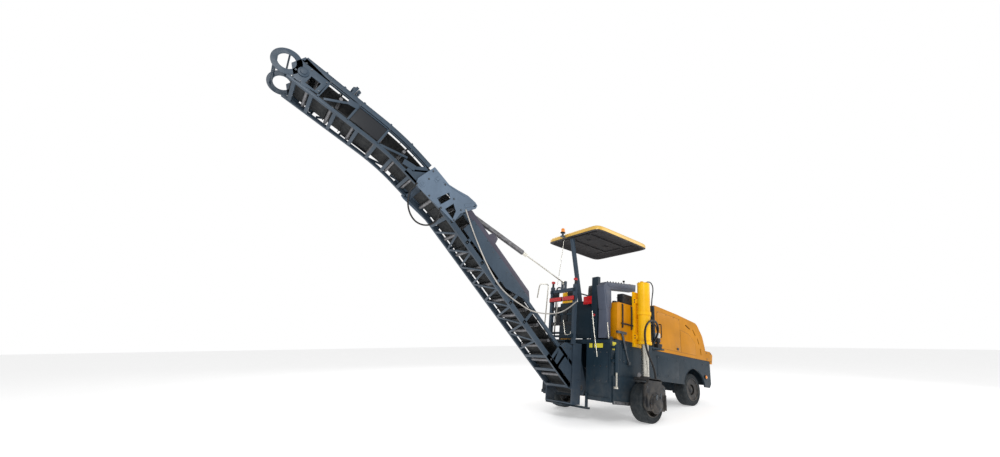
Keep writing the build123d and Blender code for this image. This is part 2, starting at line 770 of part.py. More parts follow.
head_s = upper_total - 110
head_n = pulley_n - fold_n
head_last = upper_end - 110
head_at = station(*upper_shape, head_s, head_n)
with BuildPart() as upper_belt:
    with BuildSketch(upper(belt_face)):
        for strip in belt_strips(upper_shape, head_last, fold_n, 20):
            add(strip)
        with Locations(head_at):
            Circle(wrap + belt_thickness)
        with Locations(head_at):
            Circle(wrap, mode=Mode.SUBTRACT)
        with Locations(station(*upper_shape, head_s - 70, head_n)):
            Rectangle(140, 2 * wrap, mode=Mode.SUBTRACT)
    extrude(amount=belt_width)
    for step in range(int((head_s - 100) / cleat_pitch)):
        s = 120 + cleat_pitch * step
        with BuildSketch(upper(belt_face)):
            for n in (head_n + wrap + belt_thickness + cleat_height / 2, head_n - wrap - belt_thickness - cleat_height / 2):
                with Locations(station(*upper_shape, s, n)):
                    Rectangle(10, cleat_height + 1)
        extrude(amount=belt_width)
save(upper_belt.part, "conveyor_upper_belt")
with BuildPart() as head_pulley:
    with BuildSketch(upper(belt_face)):
        with Locations(head_at):
            Circle(pulley_radius)
    extrude(amount=belt_width)
    with BuildSketch(upper(conveyor_y - upper_half + side_sheet + seat)):
        with Locations(head_at):
            Circle(30)
    extrude(amount=2 * (upper_half - side_sheet - seat))
save(head_pulley.part, "head_pulley")

# Hoist barrel and rod with its tie to the mast
hoist = Plane(origin=lift_eye, x_dir=(mast_eye - lift_eye).normalized(), z_dir=(0, 1, 0))
hoist_length = (mast_eye - lift_eye).length


def along(reach):
    return Plane(origin=hoist.from_local_coords((reach, 0, 0)), z_dir=hoist.x_dir)


barrel_near = 90
barrel_far = 1330
rod_near = 170
clevis = 90
tie_near = barrel_far + 15 + clevis
tie_far = hoist_length - 25
with BuildPart() as hoist_barrel:
    with Locations(along((barrel_near + barrel_far) / 2)):
        Cylinder(45, barrel_far - barrel_near)
    with Locations(along(60)):
        Box(36, 40, 70)
    with Locations(Location(lift_eye)):
        Cylinder(30, 40, rotation=(90, 0, 0))
        Cylinder(15 + fit, 60, rotation=(90, 0, 0), mode=Mode.SUBTRACT)
    with Locations(along((barrel_near + 40 + barrel_far) / 2)):
        Cylinder(22 + fit, barrel_far - barrel_near - 40, mode=Mode.SUBTRACT)
save(hoist_barrel.part, "hoist_barrel")
with BuildPart() as hoist_rod:
    with Locations(along((rod_near + tie_near - 10) / 2)):
        Cylinder(22, tie_near - 10 - rod_near)
    with Locations(along(tie_near - clevis / 2)):
        Box(50, 50, clevis)
    with Locations(along((tie_near - 5 + tie_far) / 2)):
        Cylinder(12, tie_far - tie_near + 5)
    with Locations(Location(mast_eye)):
        Cylinder(36, 30, rotation=(90, 0, 0))
        Cylinder(18, 40, rotation=(90, 0, 0), mode=Mode.SUBTRACT)
save(hoist_rod.part, "hoist_rod")

# Side lamps, rear lamp and filters
with BuildPart() as rear_post:
    slab((-640, -575), (-470, -330), (frame_top, 2310))
save(rear_post.part, "rear_post")
with BuildPart() as side_lamps:
    for hand in (-1, 1):
        pin(2520, hand * (frame_side + 10), 870, 32, 20)
    slab((-640, -600), (-330, -130), (1830, 1970))
save(side_lamps.part, "lamps")
with BuildPart() as filters:
    slab((640, 760), (-780, -700), (floor_z, 1300))
    with Locations(spot(700, -740, 1400)):
        Cylinder(45, 200)
save(filters.part, "filters")

# Cables and hoses, as x and z
cable_diameter = 20
hose_diameter = 24
cable_points = [
    (-2960, 3250), (-2875, 3040), (-2785, 2835), (-2685, 2635), (-2575, 2435), (-2450, 2245), (-2310, 2075), (-2130, 1940),
    (-1930, 1835), (-1725, 1740), (-1505, 1705), (-1280, 1700), (-1060, 1730), (-850, 1815), (-660, 1935),
]
cable_reach = cable_diameter / 2 + seat
cable_ends = (conveyor_y - gusset_face - cable_reach, conveyor_y - mast_half - 30 - cable_reach)
cord(cable_points, cable_ends, cable_diameter, "pale_cable")
fold_hose_points = [
    (-3790, 3500), (-3865, 3415), (-3910, 3310), (-3920, 3195), (-3905, 3080), (-3855, 2975),
    (-3775, 2900), (-3660, 2875), (-3550, 2900), (-3460, 2970), (-3415, 3075), (-3410, 3190),
]
fold_face = conveyor_y - gusset_face - hose_diameter / 2 - seat
cord(fold_hose_points, (fold_face - 12, fold_face), hose_diameter, "fold_hose")
column_hose = [(290, floor_z + 6), (280, 1340), (305, 1455), (370, 1550), (465, 1620), (575, 1660), (680, 1615), (700, 1502.5)]
column_points = []
for x, z in column_hose:
    place = body.from_local_coords((x, 0, z))
    column_points.append((place.X - rear_axle_x, place.Z))
cord(column_points, (-740, -740), hose_diameter, "column_hose")
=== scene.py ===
from math import cos, pi, radians, sin, tan
import bmesh
import bpy
from mathutils import Matrix, Vector
from mathutils.geometry import tessellate_polygon


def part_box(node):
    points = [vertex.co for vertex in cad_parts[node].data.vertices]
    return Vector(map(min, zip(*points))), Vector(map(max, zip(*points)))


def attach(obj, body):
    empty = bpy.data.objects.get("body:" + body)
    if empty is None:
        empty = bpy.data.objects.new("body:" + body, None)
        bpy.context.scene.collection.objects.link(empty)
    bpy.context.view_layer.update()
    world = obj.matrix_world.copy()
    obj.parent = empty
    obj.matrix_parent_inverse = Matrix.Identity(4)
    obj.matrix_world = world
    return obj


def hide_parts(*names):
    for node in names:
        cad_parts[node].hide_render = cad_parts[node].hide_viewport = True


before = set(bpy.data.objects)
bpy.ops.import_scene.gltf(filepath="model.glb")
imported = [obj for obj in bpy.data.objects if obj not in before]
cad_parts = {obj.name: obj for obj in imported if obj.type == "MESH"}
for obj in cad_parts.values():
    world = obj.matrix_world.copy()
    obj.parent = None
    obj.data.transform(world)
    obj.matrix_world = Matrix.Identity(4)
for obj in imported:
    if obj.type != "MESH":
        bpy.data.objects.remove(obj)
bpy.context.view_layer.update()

bl_info = {
    "name": "Cold planer finish",
    "version": (1, 0, 0),
    "blender": (4, 5, 0),
    "location": "View3D > Sidebar > Planer",
    "description": "Dresses the packed cold planer with its finishes, tyres, hoses, lamps and fittings",
    "category": "Object",
}

# Everything is in metres: X forward, Y to the machine's left, Z up
rear_axle_x = 1.4864
wheel_radius = 0.3
frame_half = 0.6
housing_half = 0.8
leg_y = 0.955
deck = 1.2205
lean = radians(8)


def shift(way):
    """Matrix that moves by a distance."""
    return Matrix.Translation(way)


def spin(angle, axis):
    """Matrix that turns about an axis through the origin."""
    return Matrix.Rotation(angle, 4, axis)


BODY = shift((rear_axle_x, 0, wheel_radius)) @ spin(lean, "Y") @ shift((0, 0, -wheel_radius))
FLANK = BODY @ Matrix(((1, 0, 0), (0, 0, -1), (0, 1, 0))).to_4x4()


def run_place(x, y, z, angle):
    """Matrix of a conveyor run: x up along it, y out of the belt, z to the machine's left."""
    turn = radians(angle)
    place = Matrix(((-cos(turn), sin(turn), 0), (0, 0, 1), (sin(turn), cos(turn), 0))).to_4x4()
    place.translation = (x, y, z)
    return place


conveyor_y = 0.15
LOWER = run_place(rear_axle_x - 0.7, conveyor_y, 0.282, 47.1)
LOWER_SHAPE = (3.85, 8.1, 1.5)
UPPER_SHAPE = (0.3, 12, 3.34)
fold_s = 3.85 + 1.5 * radians(8.1) + 0.35


def station(shape, s, n=0, y=0):
    """Matrix at a distance along a bending run, at a height over its lower chord."""
    first, bend, radius = shape
    turn = min(max(s - first, 0) / radius, radians(bend))
    rest = max(s - first - radius * radians(bend), 0)
    if s <= first:
        return shift((s, n, y))
    x = first + (radius + n) * sin(turn) + rest * cos(turn)
    up = (radius + n) * cos(turn) - radius - rest * sin(turn)
    return shift((x, up, y)) @ spin(-turn, "Z")


fold = (LOWER @ station(LOWER_SHAPE, fold_s, 0.06)).translation
UPPER = run_place(*fold, 39)


def body_spot(x, y, z):
    return BODY @ Vector((x, y, z))


def body_way(x, y, z):
    return BODY.to_3x3() @ Vector((x, y, z))


def lower_spot(s, n, y=0):
    return (LOWER @ station(LOWER_SHAPE, s, n, y)).translation


def band(hand, face, thick):
    """Low and high along FLANK's Z for a plate that stands out from a side face."""
    return sorted((-hand * face, -hand * (face + thick)))


def along(start, end):
    """Matrix whose Z runs from start towards end."""
    place = (Vector(end) - Vector(start)).to_track_quat("Z", "Y").to_matrix().to_4x4()
    place.translation = start
    return place


# Sizes and colours that a user would change


def colour(name, text, value):
    return bpy.props.FloatVectorProperty(name=name, description=text, subtype="COLOR", size=3, min=0,
                                         max=1, default=value)


def length(name, text, value):
    return bpy.props.FloatProperty(name=name, description=text, unit="LENGTH", min=0, default=value)


class PlanerPaint(bpy.types.PropertyGroup):
    # The yellow is the hood's paint matched to its side in partial shade, so it carries painted shade; the
    # bright yellow is the same paint matched to the lit part of a column, so it carries a painted
    # highlight.
    yellow: colour("Yellow", "Gloss paint of the hood and tank", (0.57, 0.225, 0.001))
    bright: colour("Yellow with painted highlight", "Paint of the lifting columns", (0.95, 0.5, 0.006))
    slate: colour("Slate", "Paint of the frame and housing", (0.012, 0.027, 0.042))
    # Conveyor grey is the slate paint lightened to the lit faces of the upper frame, so it carries a
    # painted highlight.
    conveyor: colour("Conveyor grey with painted highlight", "Paint of the conveyor's frames", (0.044, 0.066, 0.093))
    rubber: colour("Rubber", "Tyres", (0.012, 0.017, 0.021))
    amber: colour("Amber", "Beacon lens", (0.9, 0.28, 0.01))
    red: colour("Red", "Rear lamps and stops", (0.55, 0.012, 0.016))


class PlanerSizes(bpy.types.PropertyGroup):
    roller: length("Roller", "Radius of the belt's idler rollers", 0.03)
    roller_pitch: length("Roller pitch", "Distance between idler rollers", 0.32)
    groove: length("Groove", "Depth of the ring grooves in a tyre's wall", 0.005)
    rail: length("Rail", "Radius of the handrails", 0.017)


# Meshes


def join_rows(part, rows, sides):
    """Faces between rows of points around an axis; a row of one point is a tip."""
    for here, there in zip(rows, rows[1:]):
        for i in range(sides):
            j = (i + 1) % sides
            corners = [here[i % len(here)], here[j % len(here)], there[j % len(there)],
                       there[i % len(there)]]
            corners = list(dict.fromkeys(corners))
            if len(corners) > 2:
                part.faces.new(corners)


class Piece:
    """A mesh gathered from simple solids, each with its edges eased."""

    def __init__(self, place=None):
        self.mesh = bmesh.new()
        self.place = place or Matrix.Identity(4)
        self.paint = 0

    def take(self, part, place=None):
        part.transform(self.place @ (place or Matrix.Identity(4)))
        for face in part.faces:
            face.material_index = self.paint
        bmesh.ops.recalc_face_normals(part, faces=part.faces)
        carrier = bpy.data.meshes.new("carrier")
        part.to_mesh(carrier)
        part.free()
        self.mesh.from_mesh(carrier)
        bpy.data.meshes.remove(carrier)

    def add_mesh(self, mesh, place=None):
        part = bmesh.new()
        part.from_mesh(mesh)
        self.take(part, place)

    def block(self, low, high, ease=0.004, place=None):
        part = bmesh.new()
        bmesh.ops.create_cube(part, size=1)
        size = [b - a for a, b in zip(low, high)]
        middle = [(a + b) / 2 for a, b in zip(low, high)]
        bmesh.ops.scale(part, vec=size, verts=part.verts)
        bmesh.ops.translate(part, vec=middle, verts=part.verts)
        ease = min(ease, 0.3 * min(size))
        bmesh.ops.bevel(part, geom=part.edges[:], offset=ease, segments=2, profile=0.7, affect="EDGES")
        self.take(part, place)

    def plate(self, outline, low, high, ease=0.003, place=None, holes=()):
        """A flat outline in X and Y with its holes, from low to high along Z."""
        part = bmesh.new()
        loops = [outline, *holes]
        rows = [[[part.verts.new((x, y, z)) for x, y in loop] for loop in loops] for z in (low, high)]
        if holes:
            flat = [[vert for loop in row for vert in loop] for row in rows]
            for span in tessellate_polygon([[Vector((x, y, 0)) for x, y in loop] for loop in loops]):
                part.faces.new([flat[0][k] for k in span])
                part.faces.new([flat[1][k] for k in span][::-1])
        else:
            part.faces.new(rows[0][0][::-1])
            part.faces.new(rows[1][0])
        for below, above in zip(*rows):
            for i in range(len(below)):
                j = (i + 1) % len(below)
                part.faces.new((below[i], below[j], above[j], above[i]))
        bmesh.ops.recalc_face_normals(part, faces=part.faces)
        if ease:
            sharp = [edge for edge in part.edges if edge.calc_face_angle(0) > 0.2]
            bmesh.ops.bevel(part, geom=sharp, offset=ease, segments=2, profile=0.7, affect="EDGES")
        self.take(part, place)

    def turned(self, profile, place=None, sides=48):
        """A profile of radius and height, turned about Z.

        It is closed if its ends are equal or on the axis.
        """
        part = bmesh.new()
        loop = profile[0] == profile[-1]
        points = profile[:-1] if loop else profile
        rows = []
        for radius, height in points:
            if radius < 1e-6:
                rows.append([part.verts.new((0, 0, height))])
                continue
            turns = [2 * pi * i / sides for i in range(sides)]
            rows.append([part.verts.new((radius * cos(turn), radius * sin(turn), height))
                         for turn in turns])
        join_rows(part, rows + rows[:1] if loop else rows, sides)
        self.take(part, place)

    def domed(self, profile, centre, reach, power, sides=96):
        """A profile of share and height, carried round a square with full corners."""
        part = bmesh.new()
        rows = []
        for share, height in profile:
            row = []
            for i in range(sides if share else 1):
                turn = 2 * pi * (i + 0.5) / sides
                x, y = cos(turn), sin(turn)
                size = (abs(x) ** power + abs(y) ** power) ** (-1 / power)
                row.append(part.verts.new((centre[0] + reach[0] * share * x * size,
                                           centre[1] + reach[1] * share * y * size, height)))
            rows.append(row)
        join_rows(part, rows, sides)
        self.take(part)

    def rod(self, start, end, radius, sides=24, ease=0.002):
        """A round bar between two points."""
        reach = (Vector(end) - Vector(start)).length
        ease = min(ease, 0.3 * radius, 0.3 * reach)
        profile = [(0, 0), (radius - ease, 0), (radius, ease), (radius, reach - ease),
                   (radius - ease, reach), (0, reach)]
        self.turned(profile, along(start, end), sides)

    def pipe(self, points, radius, bend=0.06, sides=14):
        """A rigid round pipe through points, bent at its corners."""
        points = [Vector(point) for point in points]
        line = [points[0]]
        for before, here, after in zip(points, points[1:], points[2:]):
            into, out = (here - before), (after - here)
            turn = into.angle(out)
            cut = min(bend * tan(turn / 2), 0.45 * into.length, 0.45 * out.length)
            start, end = here - into.normalized() * cut, here + out.normalized() * cut
            for step in range(7):
                t = step / 6
                line.append(start * (1 - t) ** 2 + here * 2 * t * (1 - t) + end * t**2)
        line.append(points[-1])
        part = bmesh.new()
        side = (line[1] - line[0]).orthogonal().normalized()
        rows = []
        for i, point in enumerate(line):
            ahead = (line[min(i + 1, len(line) - 1)] - line[max(i - 1, 0)]).normalized()
            side = (side - ahead * side.dot(ahead)).normalized()
            up = ahead.cross(side)
            turns = [2 * pi * k / sides for k in range(sides)]
            rows.append([part.verts.new(point + (side * cos(turn) + up * sin(turn)) * radius)
                         for turn in turns])
        join_rows(part, rows, sides)
        part.faces.new(rows[0][::-1])
        part.faces.new(rows[-1])
        self.take(part)

    def done(self, name, body, slot, *looks, crease=32):
        mesh = bpy.data.meshes.new(name)
        self.mesh.to_mesh(mesh)
        self.mesh.free()
        return keep(mesh, name, body, slot, *looks, crease=crease)


def keep(mesh, name, body, slot, *looks, crease=32):
    """Puts a finished mesh in the scene as a named piece on its body, with the finishes named."""
    piece = bpy.data.objects.new(name, mesh)
    bpy.context.scene.collection.objects.link(piece)
    mesh.name = name
    for look in looks:
        mesh.materials.append(finishes[look])
    mesh.polygons.foreach_set("use_smooth", [True] * len(mesh.polygons))
    mesh.set_sharp_from_angle(angle=radians(crease))
    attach(piece, body)
    return piece


class Nodes:
    """Adds nodes to a tree with their settings, values and links."""

    def node(self, kind, inputs=(), **settings):
        made = self.tree.nodes.new(kind)
        for key, value in settings.items():
            setattr(made, key, value)
        for socket, value in dict(inputs).items():
            if isinstance(value, bpy.types.NodeSocket):
                self.tree.links.new(value, made.inputs[socket])
            else:
                made.inputs[socket].default_value = value
        return made


# Geometry Nodes: repeats


class Tree(Nodes):
    """A geometry tree with named inputs; its result is one plain mesh."""

    def __init__(self, name, inputs):
        self.tree = bpy.data.node_groups.new(name, "GeometryNodeTree")
        self.keys = {}
        for label, kind, value in [("Geometry", "NodeSocketGeometry", None)] + inputs + [("Finish",
                "NodeSocketMaterial", None)]:
            socket = self.tree.interface.new_socket(name=label, in_out="INPUT", socket_type=kind)
            self.keys[label] = socket.identifier
            if value is not None:
                socket.default_value = value
        self.tree.interface.new_socket(name="Geometry", in_out="OUTPUT", socket_type="NodeSocketGeometry")
        self.start = self.tree.nodes.new("NodeGroupInput")
        self.given = self.start.outputs

    def finish(self, geometry):
        real = self.node("GeometryNodeRealizeInstances", {"Geometry": geometry})
        painted = self.node("GeometryNodeSetMaterial", {"Geometry": real.outputs[0],
                                                        "Material": self.given["Finish"]})
        end = self.tree.nodes.new("NodeGroupOutput")
        self.tree.links.new(painted.outputs[0], end.inputs[0])
        return self

    def mesh(self, base, material, **values):
        """The tree's result on a base mesh."""
        holder = bpy.data.objects.new("holder", base)
        bpy.context.scene.collection.objects.link(holder)
        modifier = holder.modifiers.new("repeat", "NODES")
        modifier.node_group = self.tree
        modifier[self.keys["Finish"]] = material
        for label, value in values.items():
            modifier[self.keys[label.replace("_", " ")]] = value
        graph = bpy.context.evaluated_depsgraph_get()
        graph.update()
        made = bpy.data.meshes.new_from_object(holder.evaluated_get(graph), depsgraph=graph)
        bpy.data.objects.remove(holder)
        made.materials.clear()
        return made


def spots_mesh(spots):
    """Points with the way each faces and its size."""
    mesh = bpy.data.meshes.new("spots")
    mesh.from_pydata([spot[0] for spot in spots], [], [])
    facing = mesh.attributes.new("facing", "FLOAT_VECTOR", "POINT")
    facing.data.foreach_set("vector", [value for spot in spots for value in Vector(spot[1])])
    size = mesh.attributes.new("size", "FLOAT", "POINT")
    size.data.foreach_set("value", [spot[2] for spot in spots])
    return mesh


def line_mesh(points):
    mesh = bpy.data.meshes.new("line")
    mesh.from_pydata(points, [(i, i + 1) for i in range(len(points) - 1)], [])
    return mesh


def make_trees():
    """Bolts, rollers, slats and raised buttons."""
    bolts = Tree("bolts", [("Sides", "NodeSocketInt", 6), ("Height", "NodeSocketFloat", 0.8),
                           ("Washer", "NodeSocketFloat", 1.45)])
    head = bolts.node("GeometryNodeMeshCylinder", {"Vertices": bolts.given["Sides"], "Radius": 1,
                                                   "Depth": bolts.given["Height"]})
    head_up = bolts.node("GeometryNodeTransform", {"Geometry": head.outputs[0],
                                                   "Translation": (0, 0, 0.55)})
    washer = bolts.node("GeometryNodeMeshCylinder", {"Vertices": 14, "Radius": bolts.given["Washer"],
                                                     "Depth": 0.34})
    joined = bolts.tree.nodes.new("GeometryNodeJoinGeometry")
    bolts.tree.links.new(head_up.outputs[0], joined.inputs[0])
    bolts.tree.links.new(washer.outputs[0], joined.inputs[0])
    facing = bolts.node("GeometryNodeInputNamedAttribute", {"Name": "facing"}, data_type="FLOAT_VECTOR")
    size = bolts.node("GeometryNodeInputNamedAttribute", {"Name": "size"}, data_type="FLOAT")
    turn = bolts.node("FunctionNodeRandomValue", {"Min": (0, 0, 0), "Max": (0, 0, 1.05), "Seed": 4},
                      data_type="FLOAT_VECTOR")
    aligned = bolts.node("FunctionNodeAlignRotationToVector", {"Vector": facing.outputs[0]}, axis="Z")
    spun = bolts.node("FunctionNodeRotateRotation", {"Rotation": aligned.outputs[0],
                                                     "Rotate By": turn.outputs[0]}, rotation_space="LOCAL")
    placed = bolts.node("GeometryNodeInstanceOnPoints", {
        "Points": bolts.given["Geometry"], "Instance": joined.outputs[0], "Rotation": spun.outputs[0],
        "Scale": size.outputs[0],
    })
    bolts.finish(placed.outputs[0])

    rollers = Tree("rollers", [("Pitch", "NodeSocketFloat", 0.3), ("Radius", "NodeSocketFloat", 0.03),
                               ("Width", "NodeSocketFloat", 0.4)])
    path = rollers.node("GeometryNodeMeshToCurve", {"Mesh": rollers.given["Geometry"]})
    places = rollers.node("GeometryNodeResampleCurve", {"Curve": path.outputs[0],
                                                        "Length": rollers.given["Pitch"]}, mode="LENGTH")
    roller = rollers.node("GeometryNodeMeshCylinder", {
        "Vertices": 20, "Radius": rollers.given["Radius"], "Depth": rollers.given["Width"],
    })
    turned = rollers.node("GeometryNodeTransform", {"Geometry": roller.outputs[0], "Rotation": (pi / 2, 0,
            0)})
    placed = rollers.node("GeometryNodeInstanceOnPoints", {"Points": places.outputs[0],
                                                           "Instance": turned.outputs[0]})
    rollers.finish(placed.outputs[0])

    slats = Tree("slats", [
        ("Count", "NodeSocketInt", 8), ("Step", "NodeSocketVector", (0, 0, 0.02)),
        ("Size", "NodeSocketVector", (0.004, 0.2, 0.01)), ("Tilt", "NodeSocketVector", (0, 0, 0)),
    ])
    row = slats.node("GeometryNodeMeshLine", {"Count": slats.given["Count"], "Offset": slats.given["Step"]})
    slat = slats.node("GeometryNodeMeshCube", {"Size": slats.given["Size"]})
    tilted = slats.node("GeometryNodeTransform", {"Geometry": slat.outputs[0],
                                                  "Rotation": slats.given["Tilt"]})
    placed = slats.node("GeometryNodeInstanceOnPoints", {"Points": row.outputs[0],
                                                         "Instance": tilted.outputs[0]})
    slats.finish(placed.outputs[0])

    buttons = Tree("buttons", [
        ("Length", "NodeSocketFloat", 1.0), ("Width", "NodeSocketFloat", 1.0),
        ("Rows", "NodeSocketInt", 10), ("Columns", "NodeSocketInt", 10), ("Radius", "NodeSocketFloat",
                0.01),
    ])
    field = buttons.node("GeometryNodeMeshGrid", {
        "Size X": buttons.given["Length"], "Size Y": buttons.given["Width"],
        "Vertices X": buttons.given["Rows"], "Vertices Y": buttons.given["Columns"],
    })
    button = buttons.node("GeometryNodeMeshCone", {
        "Vertices": 10, "Radius Top": 0.008, "Radius Bottom": buttons.given["Radius"], "Depth": 0.006,
    })
    placed = buttons.node("GeometryNodeInstanceOnPoints", {"Points": field.outputs[0],
                                                           "Instance": button.outputs[0]})
    buttons.finish(placed.outputs[0])
    return {"bolts": bolts, "rollers": rollers, "slats": slats, "buttons": buttons}


trees = {}
finishes = {}


def bolts(name, body, spots):
    """Bolt heads on washers, one at each place with its facing and size."""
    mesh = trees["bolts"].mesh(spots_mesh(spots), finishes["zinc"], Sides=6)
    return keep(mesh, name, body, "steel", "zinc", crease=25)


def flank_bolt(hand, x, y, z, size):
    """A bolt on the body's side, at x, y outwards and z of the body."""
    return body_spot(x, hand * y, z), body_way(0, hand, 0), size


def run_bolt(place, hand, s, n, y, size):
    """A bolt on the side of a conveyor run, at y outwards from its middle."""
    return place @ Vector((s, n, hand * y)), Vector((0, hand, 0)), size


def side_turn(hand):
    """Turns what is drawn towards the right so that it faces the given side."""
    return spin(pi, "X") if hand < 0 else Matrix.Identity(4)


def between(hand, near, far):
    """The two distances on the given side, lower first."""
    return sorted((hand * near, hand * far))


# Finishes


class Finish(Nodes):
    """A material whose colour, roughness and bump come from the piece's own coordinates."""

    def __init__(self, name, **fixed):
        self.material = bpy.data.materials.new(name)
        self.material.use_nodes = True
        self.tree = self.material.node_tree
        self.shader = self.tree.nodes["Principled BSDF"]
        for label, value in fixed.items():
            self.shader.inputs[label.replace("_", " ")].default_value = value
        self.coords = self.node("ShaderNodeTexCoord").outputs["Object"]

    def noise(self, scale, detail=4, rough=0.55, stretch=None):
        vector = self.coords
        if stretch:
            vector = self.node("ShaderNodeMapping", {"Vector": vector, "Scale": stretch}).outputs[0]
        return self.node("ShaderNodeTexNoise", {"Vector": vector, "Scale": scale, "Detail": detail,
                                                "Roughness": rough}).outputs["Fac"]

    def span(self, value, low, high, to_low=0.0, to_high=1.0):
        inputs = {"Value": value, "From Min": low, "From Max": high, "To Min": to_low, "To Max": to_high}
        return self.node("ShaderNodeMapRange", inputs, clamp=True).outputs[0]

    def times(self, a, b):
        return self.node("ShaderNodeMath", {0: a, 1: b}, operation="MULTIPLY").outputs[0]

    def plus(self, a, b):
        return self.node("ShaderNodeMath", {0: a, 1: b}, operation="ADD", use_clamp=True).outputs[0]

    def mix(self, factor, a, b):
        def four(value):
            return value if isinstance(value, bpy.types.NodeSocket) else (*value, 1)
        made = self.node("ShaderNodeMix", {0: factor, 6: four(a), 7: four(b)}, data_type="RGBA")
        return made.outputs[2]

    def height(self):
        return self.node("ShaderNodeSeparateXYZ", {"Vector": self.coords}).outputs["Z"]

    def upward(self):
        normal = self.node("ShaderNodeNewGeometry").outputs["Normal"]
        return self.span(self.node("ShaderNodeSeparateXYZ", {"Vector": normal}).outputs["Z"], 0.35, 0.95)

    def end(self, shade, rough, bump=None, strength=0.2, distance=0.001):
        self.tree.links.new(shade, self.shader.inputs["Base Color"])
        self.tree.links.new(rough, self.shader.inputs["Roughness"])
        if bump is not None:
            made = self.node("ShaderNodeBump", {"Height": bump, "Strength": strength, "Distance": distance})
            self.tree.links.new(made.outputs[0], self.shader.inputs["Normal"])
        return self.material


def scaled(value, factor):
    return tuple(min(part * factor, 1) for part in value)


dust = (0.23, 0.2, 0.165)


def paint(name, base, rough=0.34, coat=0.25, grime=0.5, chips=True):
    """Sprayed paint: orange peel, uneven tone, dust on its upper faces and road dirt low down."""
    look = Finish(name, Coat_Weight=coat, Coat_Roughness=0.18, Specular_IOR_Level=0.24)
    tone = look.mix(look.span(look.noise(1.7, 3), 0.35, 0.65), scaled(base, 0.86), scaled(base, 1.1))
    streak = look.noise(5, 5, 0.6, (3.2, 3.2, 0.35))
    tone = look.mix(look.span(streak, 0.5, 0.78, 0, 0.22), tone, scaled(base, 0.66))
    low = look.span(look.height(), 0.9, 0.15)
    dirt = look.times(low, look.span(look.noise(9, 6, 0.65), 0.38, 0.7))
    settled = look.times(look.upward(), look.span(look.noise(6, 5), 0.3, 0.75, 0.12, 0.6))
    dirt = look.times(look.plus(dirt, settled), grime)
    tone = look.mix(dirt, tone, dust)
    if chips:
        flakes = look.span(look.noise(38, 2, 0.4), 0.74, 0.76)
        rubbed = look.times(flakes, look.span(look.noise(2.3, 2), 0.5, 0.62))
        tone = look.mix(rubbed, tone, scaled(base, 0.4))
    grain = look.plus(look.times(look.noise(420, 2), 0.5), look.times(look.noise(14, 3), 0.5))
    roughness = look.span(look.plus(look.times(look.noise(11, 4), 0.6), look.times(dirt, 0.8)), 0.2, 0.9,
                          rough - 0.08, rough + 0.34)
    return look.end(tone, roughness, grain, 0.22, 0.0012)


def bright_steel(name, base=(0.66, 0.64, 0.57)):
    """Ground and plated rod, with fine rings and an oil film."""
    look = Finish(name, Metallic=0.92, Specular_IOR_Level=0.6)
    rings = look.noise(90, 2, 0.5, (0.15, 0.15, 3))
    tone = look.mix(look.span(rings, 0.3, 0.7), scaled(base, 0.94), scaled(base, 1.06))
    tone = look.mix(look.span(look.noise(7, 4), 0.55, 0.8, 0, 0.5), tone, (0.4, 0.33, 0.2))
    return look.end(tone, look.span(look.noise(23, 4), 0.3, 0.75, 0.16, 0.4), rings, 0.12, 0.0005)


def worn_steel(name, base=(0.2, 0.2, 0.21)):
    look = Finish(name, Metallic=0.75)
    tone = look.mix(look.span(look.noise(12, 5), 0.35, 0.7), scaled(base, 0.7), scaled(base, 1.3))
    rust = look.times(look.span(look.noise(31, 6, 0.7), 0.56, 0.7), 0.45)
    tone = look.mix(rust, tone, (0.16, 0.07, 0.03))
    return look.end(tone, look.span(look.noise(40, 4), 0.3, 0.7, 0.3, 0.62), look.noise(260, 3), 0.3,
                    0.0008)


def rubber(name, base, rough=0.72, grey=0.6, low=0.55):
    """Rubber with a fine grain, greyed by road dust low down."""
    look = Finish(name, Specular_IOR_Level=0.3)
    tone = look.mix(look.span(look.noise(4, 4), 0.35, 0.65), scaled(base, 0.75), scaled(base, 1.3))
    dusty = look.plus(look.span(look.noise(17, 6, 0.7), 0.42, 0.75), look.span(look.height(), low, 0.0, 0,
            0.3))
    tone = look.mix(look.times(dusty, grey * 0.3), tone, (0.19, 0.18, 0.165))
    return look.end(tone, look.span(look.noise(30, 4), 0.3, 0.7, rough - 0.1, rough + 0.15),
                    look.noise(330, 4, 0.7), 0.35, 0.0009)


def lens(name, base, glow=0.12):
    """Ribbed lamp lens."""
    look = Finish(name, Transmission_Weight=0.15, IOR=1.49, Coat_Weight=0.6, Coat_Roughness=0.05)
    ribs = look.node("ShaderNodeTexWave", {"Vector": look.coords, "Scale": 34, "Distortion": 0.2},
                     bands_direction="Y").outputs["Fac"]
    tone = look.mix(look.span(ribs, 0.2, 0.8), scaled(base, 0.8), scaled(base, 1.12))
    look.shader.inputs["Emission Color"].default_value = (*base, 1)
    look.shader.inputs["Emission Strength"].default_value = glow
    return look.end(tone, look.span(look.noise(15, 3), 0.3, 0.7, 0.1, 0.28), ribs, 0.3, 0.001)


def vinyl(name, base):
    look = Finish(name, Specular_IOR_Level=0.4)
    cells = look.node("ShaderNodeTexVoronoi", {"Vector": look.coords, "Scale": 240}).outputs["Distance"]
    tone = look.mix(look.span(look.noise(7, 4), 0.3, 0.7), scaled(base, 0.75), scaled(base, 1.35))
    return look.end(tone, look.span(look.noise(18, 4), 0.3, 0.7, 0.42, 0.62), cells, 0.4, 0.0009)


